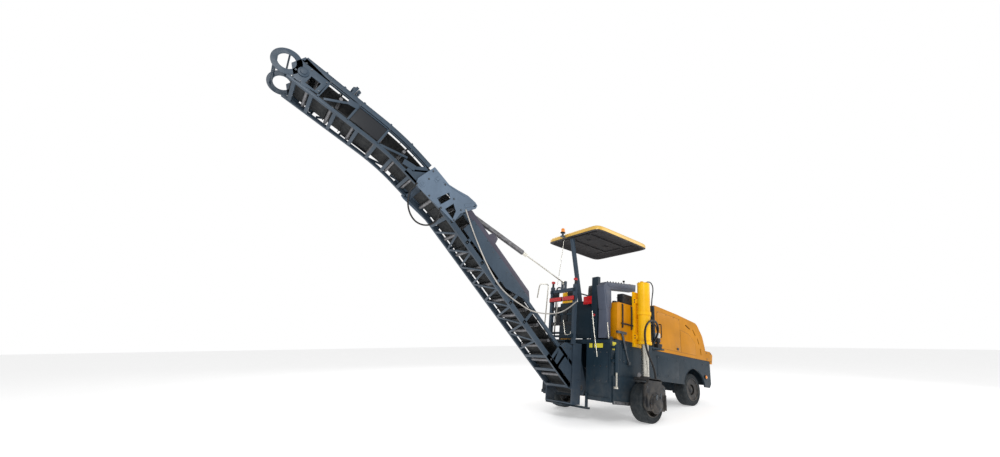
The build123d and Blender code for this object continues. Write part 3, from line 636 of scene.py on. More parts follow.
def two_tone_roof(name, top, under):
    """Moulded roof: yellow above and on its edge, charcoal felt below."""
    look = Finish(name, Specular_IOR_Level=0.4, Coat_Weight=0.15)
    normal = look.node("ShaderNodeNewGeometry").outputs["Normal"]
    below = look.span(look.node("ShaderNodeSeparateXYZ", {"Vector": normal}).outputs["Z"], -0.5, -0.7)
    upper = look.mix(look.span(look.noise(1.5, 3), 0.3, 0.7), scaled(top, 0.9), scaled(top, 1.15))
    upper = look.mix(look.times(look.upward(), look.span(look.noise(5, 5), 0.35, 0.8, 0.05, 0.5)), upper,
                     (0.6, 0.5, 0.33))
    felt = look.mix(look.span(look.noise(120, 3), 0.3, 0.7), scaled(under, 0.7), scaled(under, 1.35))
    tone = look.mix(below, upper, felt)
    rough = look.span(below, 0, 1, 0.36, 0.85)
    return look.end(tone, rough, look.noise(300, 3), 0.25, 0.001)


def make_finishes():
    colours = bpy.context.scene.planer_paint
    black = (0.012, 0.012, 0.013)
    return {
        # One yellow paint in two copies: the hood's darkened by painted shade, the columns' lightened by a
        # painted highlight.
        "yellow": paint("yellow gloss paint with painted shade", tuple(colours.yellow), rough=0.4, coat=0.04, grime=0.06),
        "bright": paint("yellow paint with painted highlight", tuple(colours.bright), rough=0.3, coat=0.15, grime=0.08),
        "slate": paint("slate paint", tuple(colours.slate), rough=0.42, coat=0.06, grime=0.22),
        # The slate paint lightened to a highlight: a painted highlight on every part that takes it.
        "conveyor": paint("conveyor grey paint with painted highlight", tuple(colours.conveyor), rough=0.42, coat=0.06,
                          grime=0.25),
        "cover": paint("cover grey paint", (0.062, 0.058, 0.082), rough=0.42, coat=0.14, grime=0.4),
        "felt": paint("charcoal felt", (0.028, 0.027, 0.03), rough=0.8, coat=0.0, grime=0.1, chips=False),
        "gusset": paint("pale grey paint", (0.12, 0.165, 0.225), rough=0.4, coat=0.1, grime=0.2),
        "console": paint("console grey paint", (0.085, 0.1, 0.14), rough=0.45, coat=0.1, grime=0.35),
        "dark": paint("charcoal paint", (0.018, 0.02, 0.024), rough=0.5, coat=0.08, grime=0.5),
        "tyre": rubber("tyre rubber", tuple(colours.rubber), rough=0.74, grey=0.45),
        "belt": rubber("conveyor belt rubber", (0.014, 0.016, 0.018), rough=0.66, grey=0.5),
        "hose": rubber("hose rubber", (0.01, 0.01, 0.011), rough=0.42, grey=0.35),
        "cable": rubber("pale cable jacket", (0.42, 0.4, 0.37), rough=0.5, grey=0.4),
        "black": rubber("black plastic", black, rough=0.45, grey=0.3),
        "rod": bright_steel("plated rod"),
        "steel": worn_steel("worn steel"),
        "zinc": worn_steel("blued steel", (0.1, 0.115, 0.13)),
        "red": lens("red lens", tuple(colours.red), 0.1),
        "amber": lens("amber lens", tuple(colours.amber), 0.1),
        "clear": lens("clear lens", (0.6, 0.62, 0.62), 0.03),
        "seat": vinyl("seat vinyl", (0.02, 0.02, 0.022)),
        "sign": paint("blank sign enamel", (0.66, 0.58, 0.05), rough=0.4, coat=0.2, grime=0.2, chips=False),
        "white": paint("white filter paint", (0.62, 0.62, 0.6), rough=0.35, coat=0.2, grime=0.3,
                       chips=False),
        "roof": two_tone_roof("roof moulding", (0.76, 0.47, 0.09), (0.035, 0.034, 0.037)),
    }


node_finish = {
    "yellow": ["engine_hood", "hood_nose", "tank"],
    "bright": ["leg_tubes"],
    "slate": ["drum_housing", "front_frame", "front_axle", "side_plate_left", "side_plate_right",
              "platform", "rear_post"],
    "conveyor": ["conveyor_lower_frame", "conveyor_upper_frame", "conveyor_lower_cover", "slew_frame",
                 "canopy_post"],
    "gusset": ["fold_gussets"],
    "console": ["console", "steering_stand"],
    "dark": [
        "engine", "rear_leg_left", "rear_leg_right", "rim_front_left", "rim_front_right", "rim_rear_left",
        "rim_rear_right", "knuckle_left", "knuckle_right", "handrails",
    ],
    "tyre": ["tyre_front_left", "tyre_front_right", "tyre_rear_left", "tyre_rear_right"],
    "belt": ["conveyor_lower_belt", "conveyor_upper_belt"],
    "steel": ["milling_drum", "tail_pulley", "head_pulley", "hoist_barrel"],
    "rod": ["hoist_rod"],
    "red": ["lamps", "mast_lamps"],
    "amber": ["beacon"],
    "seat": ["seat"],
    "white": ["filters"],
    "roof": ["canopy_roof"],
    "cable": ["pale_cable"],
    "hose": ["fold_hose", "column_hose"],
}


# Operators: one for each piece or group of like pieces


class PLANER_OT_camera(bpy.types.Operator):
    """Camera at the photograph's viewing angle"""
    bl_idname = "planer.camera"
    bl_label = "Camera"

    def execute(self, context):
        yaw, pitch, roll = radians(54.99), radians(16.09), radians(-0.32)
        ahead = Vector((cos(yaw) * cos(pitch), sin(yaw) * cos(pitch), sin(pitch)))
        right = Vector((sin(yaw), -cos(yaw), 0))
        up = right.cross(ahead)
        right, up = right * cos(roll) + up * sin(roll), up * cos(roll) - right * sin(roll)
        data = bpy.data.cameras.new("camera")
        data.lens = 13.82
        data.sensor_width = 36
        data.clip_end = 200
        camera = bpy.data.objects.new("camera", data)
        place = Matrix((right, up, -ahead)).transposed().to_4x4()
        place.translation = (rear_axle_x - 5.794, -5.139, 1.294)
        camera.matrix_world = place
        context.scene.collection.objects.link(camera)
        context.scene.camera = camera
        return {"FINISHED"}


def hose(name, points, radius, body, slot, material, **facts):
    """A cord on one smooth spline through its control points; the length passed with it is not used."""
    curve = bpy.data.curves.new(name, "CURVE")
    curve.dimensions = "3D"
    curve.bevel_depth = radius
    curve.bevel_resolution = 4
    curve.use_fill_caps = True
    curve.resolution_u = 12
    spline = curve.splines.new("NURBS")
    spline.points.add(len(points) - 1)
    for point, place in zip(spline.points, points):
        point.co = (*place, 1)
    spline.order_u = 3
    spline.use_endpoint_u = True
    piece = bpy.data.objects.new(name, curve)
    bpy.context.scene.collection.objects.link(piece)
    curve.materials.append(material)
    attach(piece, body)
    return piece


def slanted(points, low, high):
    """Points given as x from the rear axle and z, with y running evenly from end to end."""
    first, last = points[0][0], points[-1][0]
    return [(rear_axle_x + x, low + (high - low) * (x - first) / (last - first), z) for x, z in points]


cable_points = [
    (-2.96, 3.25), (-2.875, 3.04), (-2.785, 2.835), (-2.685, 2.635), (-2.575, 2.435), (-2.45, 2.245),
    (-2.31, 2.075), (-2.13, 1.94),
    (-1.93, 1.835), (-1.725, 1.74), (-1.505, 1.705), (-1.28, 1.7), (-1.06, 1.73), (-0.85, 1.815),
    (-0.66, 1.935),
]
fold_hose_points = [
    (-3.79, 3.5), (-3.865, 3.415), (-3.91, 3.31), (-3.92, 3.195), (-3.905, 3.08), (-3.855, 2.975),
    (-3.775, 2.9), (-3.66, 2.875), (-3.55, 2.9), (-3.46, 2.97), (-3.415, 3.075), (-3.41, 3.19),
]
column_hose_points = [
    (0.29, 1.226), (0.28, 1.34), (0.305, 1.455), (0.37, 1.55), (0.465, 1.62), (0.575, 1.66), (0.68, 1.615),
    (0.7, 1.5025),
]
leg_hose_points = [
    (0.06, -1.105, 0.6703), (0.06, -1.105, 0.725), (0.025, -1.107, 0.815), (-0.035, -1.11, 0.91),
    (-0.11, -1.112, 1.0), (-0.17, -1.113, 1.11),
    (-0.203, -1.112, 1.235), (-0.205, -1.108, 1.365), (-0.16, -1.1, 1.48), (-0.07, -1.09, 1.565),
    (0.045, -1.075, 1.61), (0.165, -1.05, 1.62),
    (0.28, -1.015, 1.6), (0.38, -0.97, 1.545), (0.45, -0.915, 1.455), (0.488, -0.84, 1.365),
    (0.495, -0.772, 1.29), (0.495, -0.772, 1.2203),
]
tube_hose_points = [
    (0.07, -0.955, 2.2403), (0.07, -0.955, 2.275), (0.11, -0.955, 2.312), (0.175, -0.952, 2.33),
    (0.24, -0.948, 2.325), (0.295, -0.942, 2.28),
    (0.315, -0.935, 2.205), (0.3, -0.93, 2.115), (0.282, -0.925, 2.01), (0.275, -0.92, 1.89),
    (0.285, -0.912, 1.77), (0.318, -0.9, 1.65),
    (0.362, -0.88, 1.53), (0.405, -0.845, 1.41), (0.435, -0.785, 1.31), (0.435, -0.785, 1.2203),
]


class PLANER_OT_cords(bpy.types.Operator):
    """Pale cable on the mast, and hose loops under the fold and at the right column, leg and tube"""
    bl_idname = "planer.cords"
    bl_label = "Cables and hoses"

    def execute(self, context):
        trees.update(make_trees())
        finishes.update(make_finishes())
        table = [
            ("pale_cable_run", slanted(cable_points, -0.1623, -0.1903), 0.01, "slew", "pale_cable",
             "cable", 3.143, "limp", "hanging"),
            ("fold_hose_run", slanted(fold_hose_points, -0.1763, -0.1643), 0.012, "lower_conveyor",
             "fold_hose", "hose", 1.246, "medium", "hanging"),
            ("column_hose_run", [body_spot(x, -0.74, z) for x, z in column_hose_points], 0.012, "chassis",
             "column_hose", "hose", 0.794, "medium", "loose"),
            ("leg_hose_run", [body_spot(*point) for point in leg_hose_points], 0.017, "leg_right", None,
             "hose", 1.911, "medium", "loose"),
            ("tube_hose_run", [body_spot(*point) for point in tube_hose_points], 0.01, "chassis", None,
             "hose", 1.395, "medium", "loose"),
        ]
        for name, points, radius, body, node, finish, reach, stiffness, lay in table:
            slot = "cable" if finish == "cable" else "hose"
            piece = hose(name, points, radius, body, slot, finishes[finish], length=reach,
                         far_end="object", stiffness=stiffness, lay=lay)
            if node:
                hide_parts(node)
        return {"FINISHED"}


class PLANER_OT_stage(bpy.types.Operator):
    """Pale floor, white surround and soft light"""
    bl_idname = "planer.stage"
    bl_label = "Stage"

    def execute(self, context):
        floor = bmesh.new()
        bmesh.ops.create_grid(floor, x_segments=8, y_segments=8, size=60)
        mesh = bpy.data.meshes.new("floor")
        floor.to_mesh(mesh)
        floor.free()
        ground = bpy.data.objects.new("floor", mesh)
        context.scene.collection.objects.link(ground)
        look = Finish("pale floor")
        tone = look.mix(look.span(look.noise(0.8, 3), 0.3, 0.7), (0.9, 0.9, 0.9), (0.93, 0.93, 0.93))
        look.shader.inputs["Emission Color"].default_value = (1, 1, 1, 1)
        look.shader.inputs["Emission Strength"].default_value = 0.38
        mesh.materials.append(look.end(tone, look.span(look.noise(2, 3), 0.3, 0.7, 0.8, 0.9)))
        context.scene.view_settings.view_transform = "Standard"
        world = bpy.data.worlds.new("studio")
        context.scene.world = world
        world.use_nodes = True
        nodes, links = world.node_tree.nodes, world.node_tree.links
        back = nodes["Background"]
        ray = nodes.new("ShaderNodeLightPath")
        seen = nodes.new("ShaderNodeMath")
        seen.operation = "MAXIMUM"
        links.new(ray.outputs["Is Camera Ray"], seen.inputs[0])
        links.new(ray.outputs["Is Transmission Ray"], seen.inputs[1])
        level = nodes.new("ShaderNodeMapRange")
        level.inputs["To Min"].default_value = 0.55
        level.inputs["To Max"].default_value = 1.0
        links.new(seen.outputs[0], level.inputs["Value"])
        links.new(level.outputs[0], back.inputs["Strength"])
        back.inputs["Color"].default_value = (1, 1, 1, 1)
        lamps = [("key", (-6, -9, 9), 5.0, 640), ("fill", (9, -6, 6), 6.0, 260), ("back", (3, 9, 9), 6.0,
                320)]
        for name, place, size, power in lamps:
            data = bpy.data.lights.new(name, "AREA")
            data.size = size
            data.energy = power
            lamp = bpy.data.objects.new(name, data)
            lamp.matrix_world = along(place, (0, 0, 1.6)) @ spin(pi, "X")
            context.scene.collection.objects.link(lamp)
        return {"FINISHED"}


class PLANER_OT_finishes(bpy.types.Operator):
    """Finishes of the parts carried over from the frame"""
    bl_idname = "planer.finishes"
    bl_label = "Finishes"

    def execute(self, context):
        painted = set()
        for finish, nodes in node_finish.items():
            for node in nodes:
                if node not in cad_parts:
                    continue
                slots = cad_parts[node].data.materials
                slots.clear()
                slots.append(finishes[finish])
                painted.add(node)
        bare = set(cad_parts) - painted
        if bare:
            raise RuntimeError(f"these parts have no finish: {sorted(bare)}")
        return {"FINISHED"}


wheels = ("front_right", "front_left", "rear_right", "rear_left")


class PLANER_OT_tyres(bpy.types.Operator):
    """Solid tyres with ringed walls and a moulding seam"""
    bl_idname = "planer.tyres"
    bl_label = "Tyres"

    def execute(self, context):
        groove = context.scene.planer_sizes.groove
        wall = [(0.21, 0), (0.222, 0.002), (0.224, groove), (0.232, groove), (0.234, 0.002),
                (0.262, 0.0005), (0.264, groove), (0.272, groove)]
        wall += [(0.274, 0.001), (0.28, 0.004), (0.291, 0.012), (0.298, 0.022), (0.3, 0.034)]
        half = [(radius, 0.1145 - inward) for radius, inward in wall] + [(0.3, 0.06), (0.2985, 0.056),
                (0.2985, 0.052), (0.3, 0.048), (0.3, 0.004), (0.2988, 0.0)]
        profile = half + [(radius, -height) for radius, height in half[::-1][1:]]
        profile.append(profile[0])
        for name in wheels:
            body = f"wheel_{name}"
            low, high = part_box(f"tyre_{name}")
            centre = (low + high) / 2
            piece = Piece(shift(centre) @ spin(pi / 2, "X"))
            piece.turned(profile, sides=96)
            made = piece.done(f"tyre_{name}_dressed", body, "tyre", "tyre", crease=50)
            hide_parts(f"tyre_{name}")
        return {"FINISHED"}


class PLANER_OT_hubs(bpy.types.Operator):
    """Rim rings, hub caps, front dishes and wheel nuts"""
    bl_idname = "planer.hubs"
    bl_label = "Wheel hubs"

    def execute(self, context):
        for name in wheels:
            body = f"wheel_{name}"
            low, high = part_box(f"rim_{name}")
            centre = (low + high) / 2
            hand = 1 if "left" in name else -1
            outward = Vector((0, hand, 0))
            piece = Piece(along(centre, centre + outward))
            rim = [(0.196, 0.1), (0.2, 0.106), (0.2, 0.112), (0.207, 0.1135), (0.209, 0.108), (0.2, 0.098),
                   (0.196, 0.1)]
            piece.turned(rim, sides=72)
            if name.startswith("front"):
                cap = [(0.085, 0.051), (0.085, 0.062), (0.078, 0.072), (0.05, 0.082), (0.046, 0.09),
                       (0.0, 0.094)]
                piece.turned([(0.0, 0.051)] + cap, sides=48)
                dish = [(0.194, 0.086), (0.194, 0.098), (0.188, 0.102), (0.14, 0.092), (0.1, 0.096),
                        (0.0965, 0.086), (0.194, 0.086)]
                piece.turned(dish, sides=72)
            piece.done(f"hub_{name}", body, "dark", "dark")
            spots = []
            if name.startswith("rear"):
                for i in range(8):
                    turn = 2 * pi * (i + 0.5) / 8
                    spots.append((centre - outward * 0.0185 + Vector((cos(turn), 0, sin(turn))) * 0.1375,
                                  -outward, 0.014))
            else:
                for i in range(6):
                    turn = 2 * pi * i / 6
                    spots.append((centre + outward * 0.064 + Vector((cos(turn), 0, sin(turn))) * 0.068,
                                  outward, 0.006))
            bolts(f"nuts_{name}", body, spots)
        return {"FINISHED"}


hood_doors = [
    [(0.905, 1.265), (1.66, 1.265), (1.66, 1.905), (1.6, 1.912), (0.905, 1.952)],
    [(1.68, 1.265), (2.2, 1.265), (2.2, 1.5), (1.98, 1.66), (1.68, 1.7)],
]
front_door = [(0.86, 0.74), (1.56, 0.74), (1.56, 1.12), (0.86, 1.12)]


class PLANER_OT_hood(bpy.types.Operator):
    """Hood: side doors, dark louvres behind the slots, latches, handles, top vent and bottom seal"""
    bl_idname = "planer.hood"
    bl_label = "Hood"

    def execute(self, context):
        louvres = [(1.96, 1.8, -20, 0.18), (2.19, 1.72, -50, 0.15), (2.33, 1.56, -70, 0.13),
                   (2.4, 1.36, -80, 0.13)]
        shell = Piece(FLANK)
        dark = Piece(FLANK)
        metal = Piece(FLANK)
        spots = []
        for hand in (-1, 1):
            low, high = band(hand, frame_half, 0.0022)
            for outline in hood_doors:
                middle = Vector((sum(x for x, _ in outline) / len(outline),
                                 sum(z for _, z in outline) / len(outline)))
                seam = [tuple(Vector(point) + (Vector(point) - middle).normalized() * 0.005)
                        for point in outline]
                dark.plate(seam, *band(hand, frame_half, 0.0008), ease=0)
                shell.plate(outline, low, high, 0.0008)
            for x, z, turn, reach in louvres:
                place = shift((x, z, 0)) @ spin(radians(turn), "Z")
                inner = sorted((-hand * 0.574, -hand * 0.5795))
                dark.block((-reach / 2 - 0.01, -0.024, inner[0]), (reach / 2 + 0.01, 0.024, inner[1]),
                           0.001, place)
                for step in range(4):
                    at = reach * (step - 1.5) / 4
                    fin = sorted((-hand * 0.581, -hand * 0.594))
                    dark.block((at - 0.002, -0.0135, fin[0]), (at + 0.002, 0.0135, fin[1]), 0.0005, place)
            for x in (1.0, 1.56):
                latch = band(hand, 0.6024, 0.009)
                metal.block((x - 0.03, 1.29, latch[0]), (x + 0.03, 1.335, latch[1]), 0.003)
                knob = band(hand, 0.61, 0.01)
                metal.block((x - 0.016, 1.3, knob[0]), (x + 0.016, 1.325, knob[1]), 0.003)
            for x in (0.93, 1.2, 1.45, 1.64):
                spots.append(flank_bolt(hand, x, 0.6028, 1.935 - (x - 0.93) * 0.05, 0.006))
            ends = [body_spot(0.96, hand * y, z) for y, z in ((0.601, 1.45), (0.648, 1.45), (0.648, 1.7),
                    (0.601, 1.7))]
            grip = Piece()
            grip.pipe(ends, 0.009, 0.03)
            grip.done(f"hood_grip_{'left' if hand > 0 else 'right'}", "hood", "black", "black")
        seal = Piece(BODY)
        for hand in (-1, 1):
            seal.block((0.84, min(hand * 0.6, hand * 0.578), 1.1965), (2.57, max(hand * 0.6, hand * 0.578),
                    1.2005), 0.001)
        seal.done("hood_seal", "hood", "black", "black")
        vent = Piece(BODY)
        lie = shift((1.2, 0, 2.025)) @ spin(radians(3.8), "Y")
        vent.block((-0.26, -0.3, -0.006), (0.26, -0.275, 0.016), 0.004, lie)
        vent.block((-0.26, 0.275, -0.006), (0.26, 0.3, 0.016), 0.004, lie)
        vent.block((-0.26, -0.3, -0.006), (-0.235, 0.3, 0.016), 0.004, lie)
        vent.block((0.235, -0.3, -0.006), (0.26, 0.3, 0.016), 0.004, lie)
        slats = trees["slats"].mesh(line_mesh([(0, 0, 0)]), finishes["black"], Count=15,
                                    Step=(0.031, 0, 0), Size=(0.022, 0.56, 0.004), Tilt=(0, -0.5, 0))
        vent.add_mesh(slats, lie @ shift((-0.217, 0, 0.006)))
        vent.done("hood_vent", "hood", "black", "black")
        shell.done("hood_doors", "hood", "yellow", "yellow")
        dark.done("hood_louvres", "hood", "black", "black")
        metal.done("hood_latches", "hood", "black", "zinc")
        bolts("hood_bolts", "hood", spots)
        return {"FINISHED"}


class PLANER_OT_nose(bpy.types.Operator):
    """Nose: leaning shell, grille slats, two work lamps and side bolts"""
    bl_idname = "planer.nose"
    bl_label = "Nose"

    def execute(self, context):
        shell = Piece(FLANK)
        outline = [(2.581, 1.206), (2.7, 1.201), (2.745, 1.201), (2.75, 1.145), (2.815, 1.15),
                   (2.858, 1.335), (2.775, 1.4), (2.581, 1.4)]
        slotted = [(2.581, 1.25), (2.838, 1.25), (2.858, 1.335), (2.775, 1.4), (2.581, 1.4)]
        for low, high in ((-0.6, -0.445), (-0.355, 0.355), (0.445, 0.6)):
            shell.plate(outline, low, high, 0.003)
        for low, high in ((-0.446, -0.354), (0.354, 0.446)):
            shell.plate(slotted, low, high, 0)
            shell.turned([(0, 0), (0.014, 0), (0.014, high - low), (0, high - low)],
                         shift((2.79, 1.185, low)), 24)
        made = shell.done("nose_dressed", "hood", "yellow", "yellow")
        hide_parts("hood_nose")
        face = BODY @ shift((2.8162, 0, 1.155)) @ spin(radians(13.09), "Y")
        grille = Piece(face)
        grille.block((-0.004, -0.3, 0.02), (0.002, 0.3, 0.026), 0.001)
        grille.block((-0.004, -0.3, 0.15), (0.002, 0.3, 0.156), 0.001)
        slats = trees["slats"].mesh(line_mesh([(0, 0, 0)]), finishes["black"], Count=7, Step=(0, 0, 0.018),
                                    Size=(0.005, 0.6, 0.009), Tilt=(0, 0.5, 0))
        grille.add_mesh(slats, shift((0, 0, 0.034)))
        grille.done("nose_grille", "hood", "black", "black")
        lamps = Piece(face)
        for y in (-0.52, 0.52):
            out = shift((0, y, 0.09)) @ spin(pi / 2, "Y")
            lamps.paint = 0
            lamps.turned([(0.052, -0.004), (0.056, -0.001), (0.054, 0.004), (0.046, 0.0045),
                          (0.044, 0.001), (0.052, -0.004)], out)
            lamps.paint = 1
            lamps.turned([(0, -0.002), (0.045, -0.002), (0.044, 0.001), (0.03, 0.0035), (0, 0.0042)], out)
        lamps.done("nose_lamps", "hood", "black", "black", "clear")
        spots = []
        for hand in (-1, 1):
            for x, z in ((2.63, 1.24), (2.63, 1.36), (2.78, 1.36), (2.78, 1.2)):
                spots.append(flank_bolt(hand, x, 0.601, z, 0.008))
        bolts("nose_bolts", "hood", spots)
        return {"FINISHED"}


class PLANER_OT_frame(bpy.types.Operator):
    """Front frame: access plates, weld seams, bolts and amber side markers"""
    bl_idname = "planer.frame"
    bl_label = "Front frame"

    def execute(self, context):
        plates = Piece(FLANK)
        markers = Piece(BODY)
        spots = []
        for hand in (-1, 1):
            plates.plate(front_door, *band(hand, frame_half, 0.004), ease=0.0015)
            for x in (0.9, 1.21, 1.52):
                for z in (0.78, 1.08):
                    spots.append(flank_bolt(hand, x, 0.605, z, 0.008))
            for x in (1.78, 2.44, 2.66):
                spots.append(flank_bolt(hand, x, 0.601, 1.12, 0.01))
            out = shift((2.52, hand * 0.6, 0.87)) @ spin(-hand * pi / 2, "X")
            markers.paint = 1
            markers.turned([(0.036, 0.0), (0.038, 0.012), (0.036, 0.021), (0.033, 0.0205)], out)
            markers.paint = 0
            markers.turned([(0.0335, 0.0195), (0.033, 0.0215), (0.024, 0.0285), (0.01, 0.0315),
                            (0, 0.032)], out)
        plates.done("frame_plates", "chassis", "slate", "slate")
        markers.done("frame_markers", "chassis", "amber_lamp", "amber", "black")
        for y in (-0.55, -0.3, 0.3, 0.55):
            for z in (0.8, 0.98, 1.14):
                spots.append((body_spot(2.7208, y, z), body_way(1, 0, 0), 0.011))
        bolts("frame_bolts", "chassis", spots)
        seams = Piece()
        for hand in (-1, 1):
            rim = [body_spot(2.11 + 0.376 * cos(t), hand * 0.602, 0.62 + 0.376 * sin(t))
                   for t in [pi * (0.07 + 0.86 * k / 18) for k in range(19)]]
            seams.pipe(rim, 0.005, 0.02, 10)
        seams.done("arch_lips", "chassis", "slate", "slate")
        return {"FINISHED"}


class PLANER_OT_housing(bpy.types.Operator):
    """Drum housing: access plates, edge bolts, lifting eyes, gauge strips and blank signs"""
    bl_idname = "planer.housing"
    bl_label = "Drum housing"

    def execute(self, context):
        plates = Piece(BODY)
        rear = -0.69
        plates.block((rear - 0.008, -0.77, 0.52), (rear, -0.45, 1.02), 0.003)
        plates.block((rear - 0.008, 0.63, 0.52), (rear, 0.78, 1.02), 0.003)
        plates.block((rear - 0.02, -0.8, 0.24), (rear, -0.3, 0.3), 0.006)
        plates.block((rear - 0.02, 0.6, 0.24), (rear, 0.8, 0.3), 0.006)
        plates.block((rear - 0.012, -0.8, 1.14), (rear, -0.3, 1.19), 0.004)
        spots = []
        for y in (-0.74, -0.61, -0.48):
            for z in (0.55, 0.77, 0.99):
                spots.append((body_spot(rear - 0.009, y, z), body_way(-1, 0, 0), 0.009))
        for y in (0.66, 0.75):
            for z in (0.55, 0.77, 0.99):
                spots.append((body_spot(rear - 0.009, y, z), body_way(-1, 0, 0), 0.009))
        sides = Piece(FLANK)
        for hand in (-1, 1):
            sides.plate([(-0.38, 0.86), (-0.16, 0.86), (-0.16, 1.1), (-0.38, 1.1)],
                        *band(hand, housing_half, 0.005), ease=0.002)
            sides.plate([(0.12, 0.84), (0.25, 0.84), (0.25, 1.1), (0.12, 1.1)], *band(hand, housing_half,
                    0.005), ease=0.002)
            for x, z in ((-0.36, 0.88), (-0.18, 0.88), (-0.36, 1.08), (-0.18, 1.08), (0.14, 0.86),
                         (0.23, 0.86), (0.14, 1.08), (0.23, 1.08)):
                spots.append(flank_bolt(hand, x, 0.806, z, 0.008))
            for x in (-0.66, -0.45, 0.38):
                for z in (0.9, 1.16):
                    spots.append(flank_bolt(hand, x, 0.801, z, 0.01))
        plates.done("housing_rear_plates", "chassis", "slate", "slate")
        sides.done("housing_side_plates", "chassis", "slate", "slate")
        bolts("housing_bolts", "chassis", spots)
        signs = Piece(BODY)
        signs.block((rear - 0.0145, -0.66, 1.06), (rear - 0.012, -0.47, 1.13), 0.001)
        signs.block((rear - 0.002, -0.42, 1.06), (rear, -0.35, 1.13), 0.001)
        signs.done("rear_signs", "chassis", "yellow", "sign")
        side_signs = Piece(FLANK)
        for x, z, w, h in ((-0.635, 1.1, 0.09, 0.13), (0.55, 1.14, 0.12, 0.06)):
            face = 0.8 if x < 0.43 else 0.6
            side_signs.plate([(x, z - h / 2), (x + w, z - h / 2), (x + w, z + h / 2), (x, z + h / 2)],
                             *band(-1, face, 0.0025), ease=0.001)
        side_signs.done("side_signs", "chassis", "yellow", "sign")
        eyes = Piece(BODY)
        for hand in (-1, 1):
            eyes.plate([(0.06 * cos(t), 0.06 * sin(t)) for t in [pi * k / 12 for k in range(13)]], -0.01,
                       0.01, 0.003,
                       shift((-0.64, hand * 0.77, 1.19)) @ spin(pi / 2, "X"))
        eyes.done("lifting_eyes", "chassis", "slate", "slate")
        return {"FINISHED"}


class PLANER_OT_side_plates(bpy.types.Operator):
    """Side plates: wear shoes and bolts"""
    bl_idname = "planer.side_plates"
    bl_label = "Side plates"

    def execute(self, context):
        for name, hand in (("right", -1), ("left", 1)):
            body = f"plate_{name}"
            shoe = Piece(FLANK)
            shoe.plate([(-0.63, 0.224), (0.32, 0.224), (0.32, 0.27), (-0.63, 0.27)],
                       *band(hand, 0.822, 0.006), ease=0.002)
            shoe.done(f"side_shoe_{name}", body, "steel", "steel")
            spots = [flank_bolt(hand, x, 0.829, 0.247, 0.009) for x in (-0.58, -0.35, -0.12, 0.1, 0.28)]
            spots += [flank_bolt(hand, x, 0.8228, z, 0.008) for x in (-0.5, 0.3) for z in (0.6, 0.66)]
            bolts(f"side_bolts_{name}", body, spots)
        return {"FINISHED"}


class PLANER_OT_columns(bpy.types.Operator):
    """Lifting columns: caps, ports, end rings and their bolts"""
    bl_idname = "planer.columns"
    bl_label = "Lifting columns"

    def execute(self, context):
        spots = []
        caps = Piece(BODY)
        for hand in (-1, 1):
            at = shift((0, hand * leg_y, 2.24))
            caps.turned([(0, 0), (0.104, 0), (0.108, 0.004), (0.108, 0.016), (0.1, 0.022), (0.03, 0.024),
                         (0, 0.024)], at, 64)
            caps.turned([(0, 0.02), (0.03, 0.02), (0.03, 0.045), (0.02, 0.05), (0, 0.05)], at
                        @ shift((-0.04, 0, 0)), 24)
            caps.turned([(0.1, 0), (0.1095, 0.0), (0.1095, 0.01), (0.1, 0.01), (0.1, 0)],
                        shift((0, hand * leg_y, 1.268)), 64)
            for k in range(8):
                t = 2 * pi * (k + 0.5) / 8
                spots.append((body_spot(0.09 * cos(t), hand * leg_y + 0.09 * sin(t), 2.263),
                              body_way(0, 0, 1), 0.008))
                spots.append((body_spot(0.107 * cos(t), hand * leg_y + 0.107 * sin(t), 1.2505),
                              body_way(0, 0, 1), 0.007))
            for z in (1.3, 1.34, 1.92, 1.96):
                for x in (-0.09, 0.09):
                    spots.append(flank_bolt(hand, x, 0.8305, z, 0.009))
        caps.done("column_caps", "chassis", "yellow", "bright")
        bolts("column_bolts", "chassis", spots)
        return {"FINISHED"}


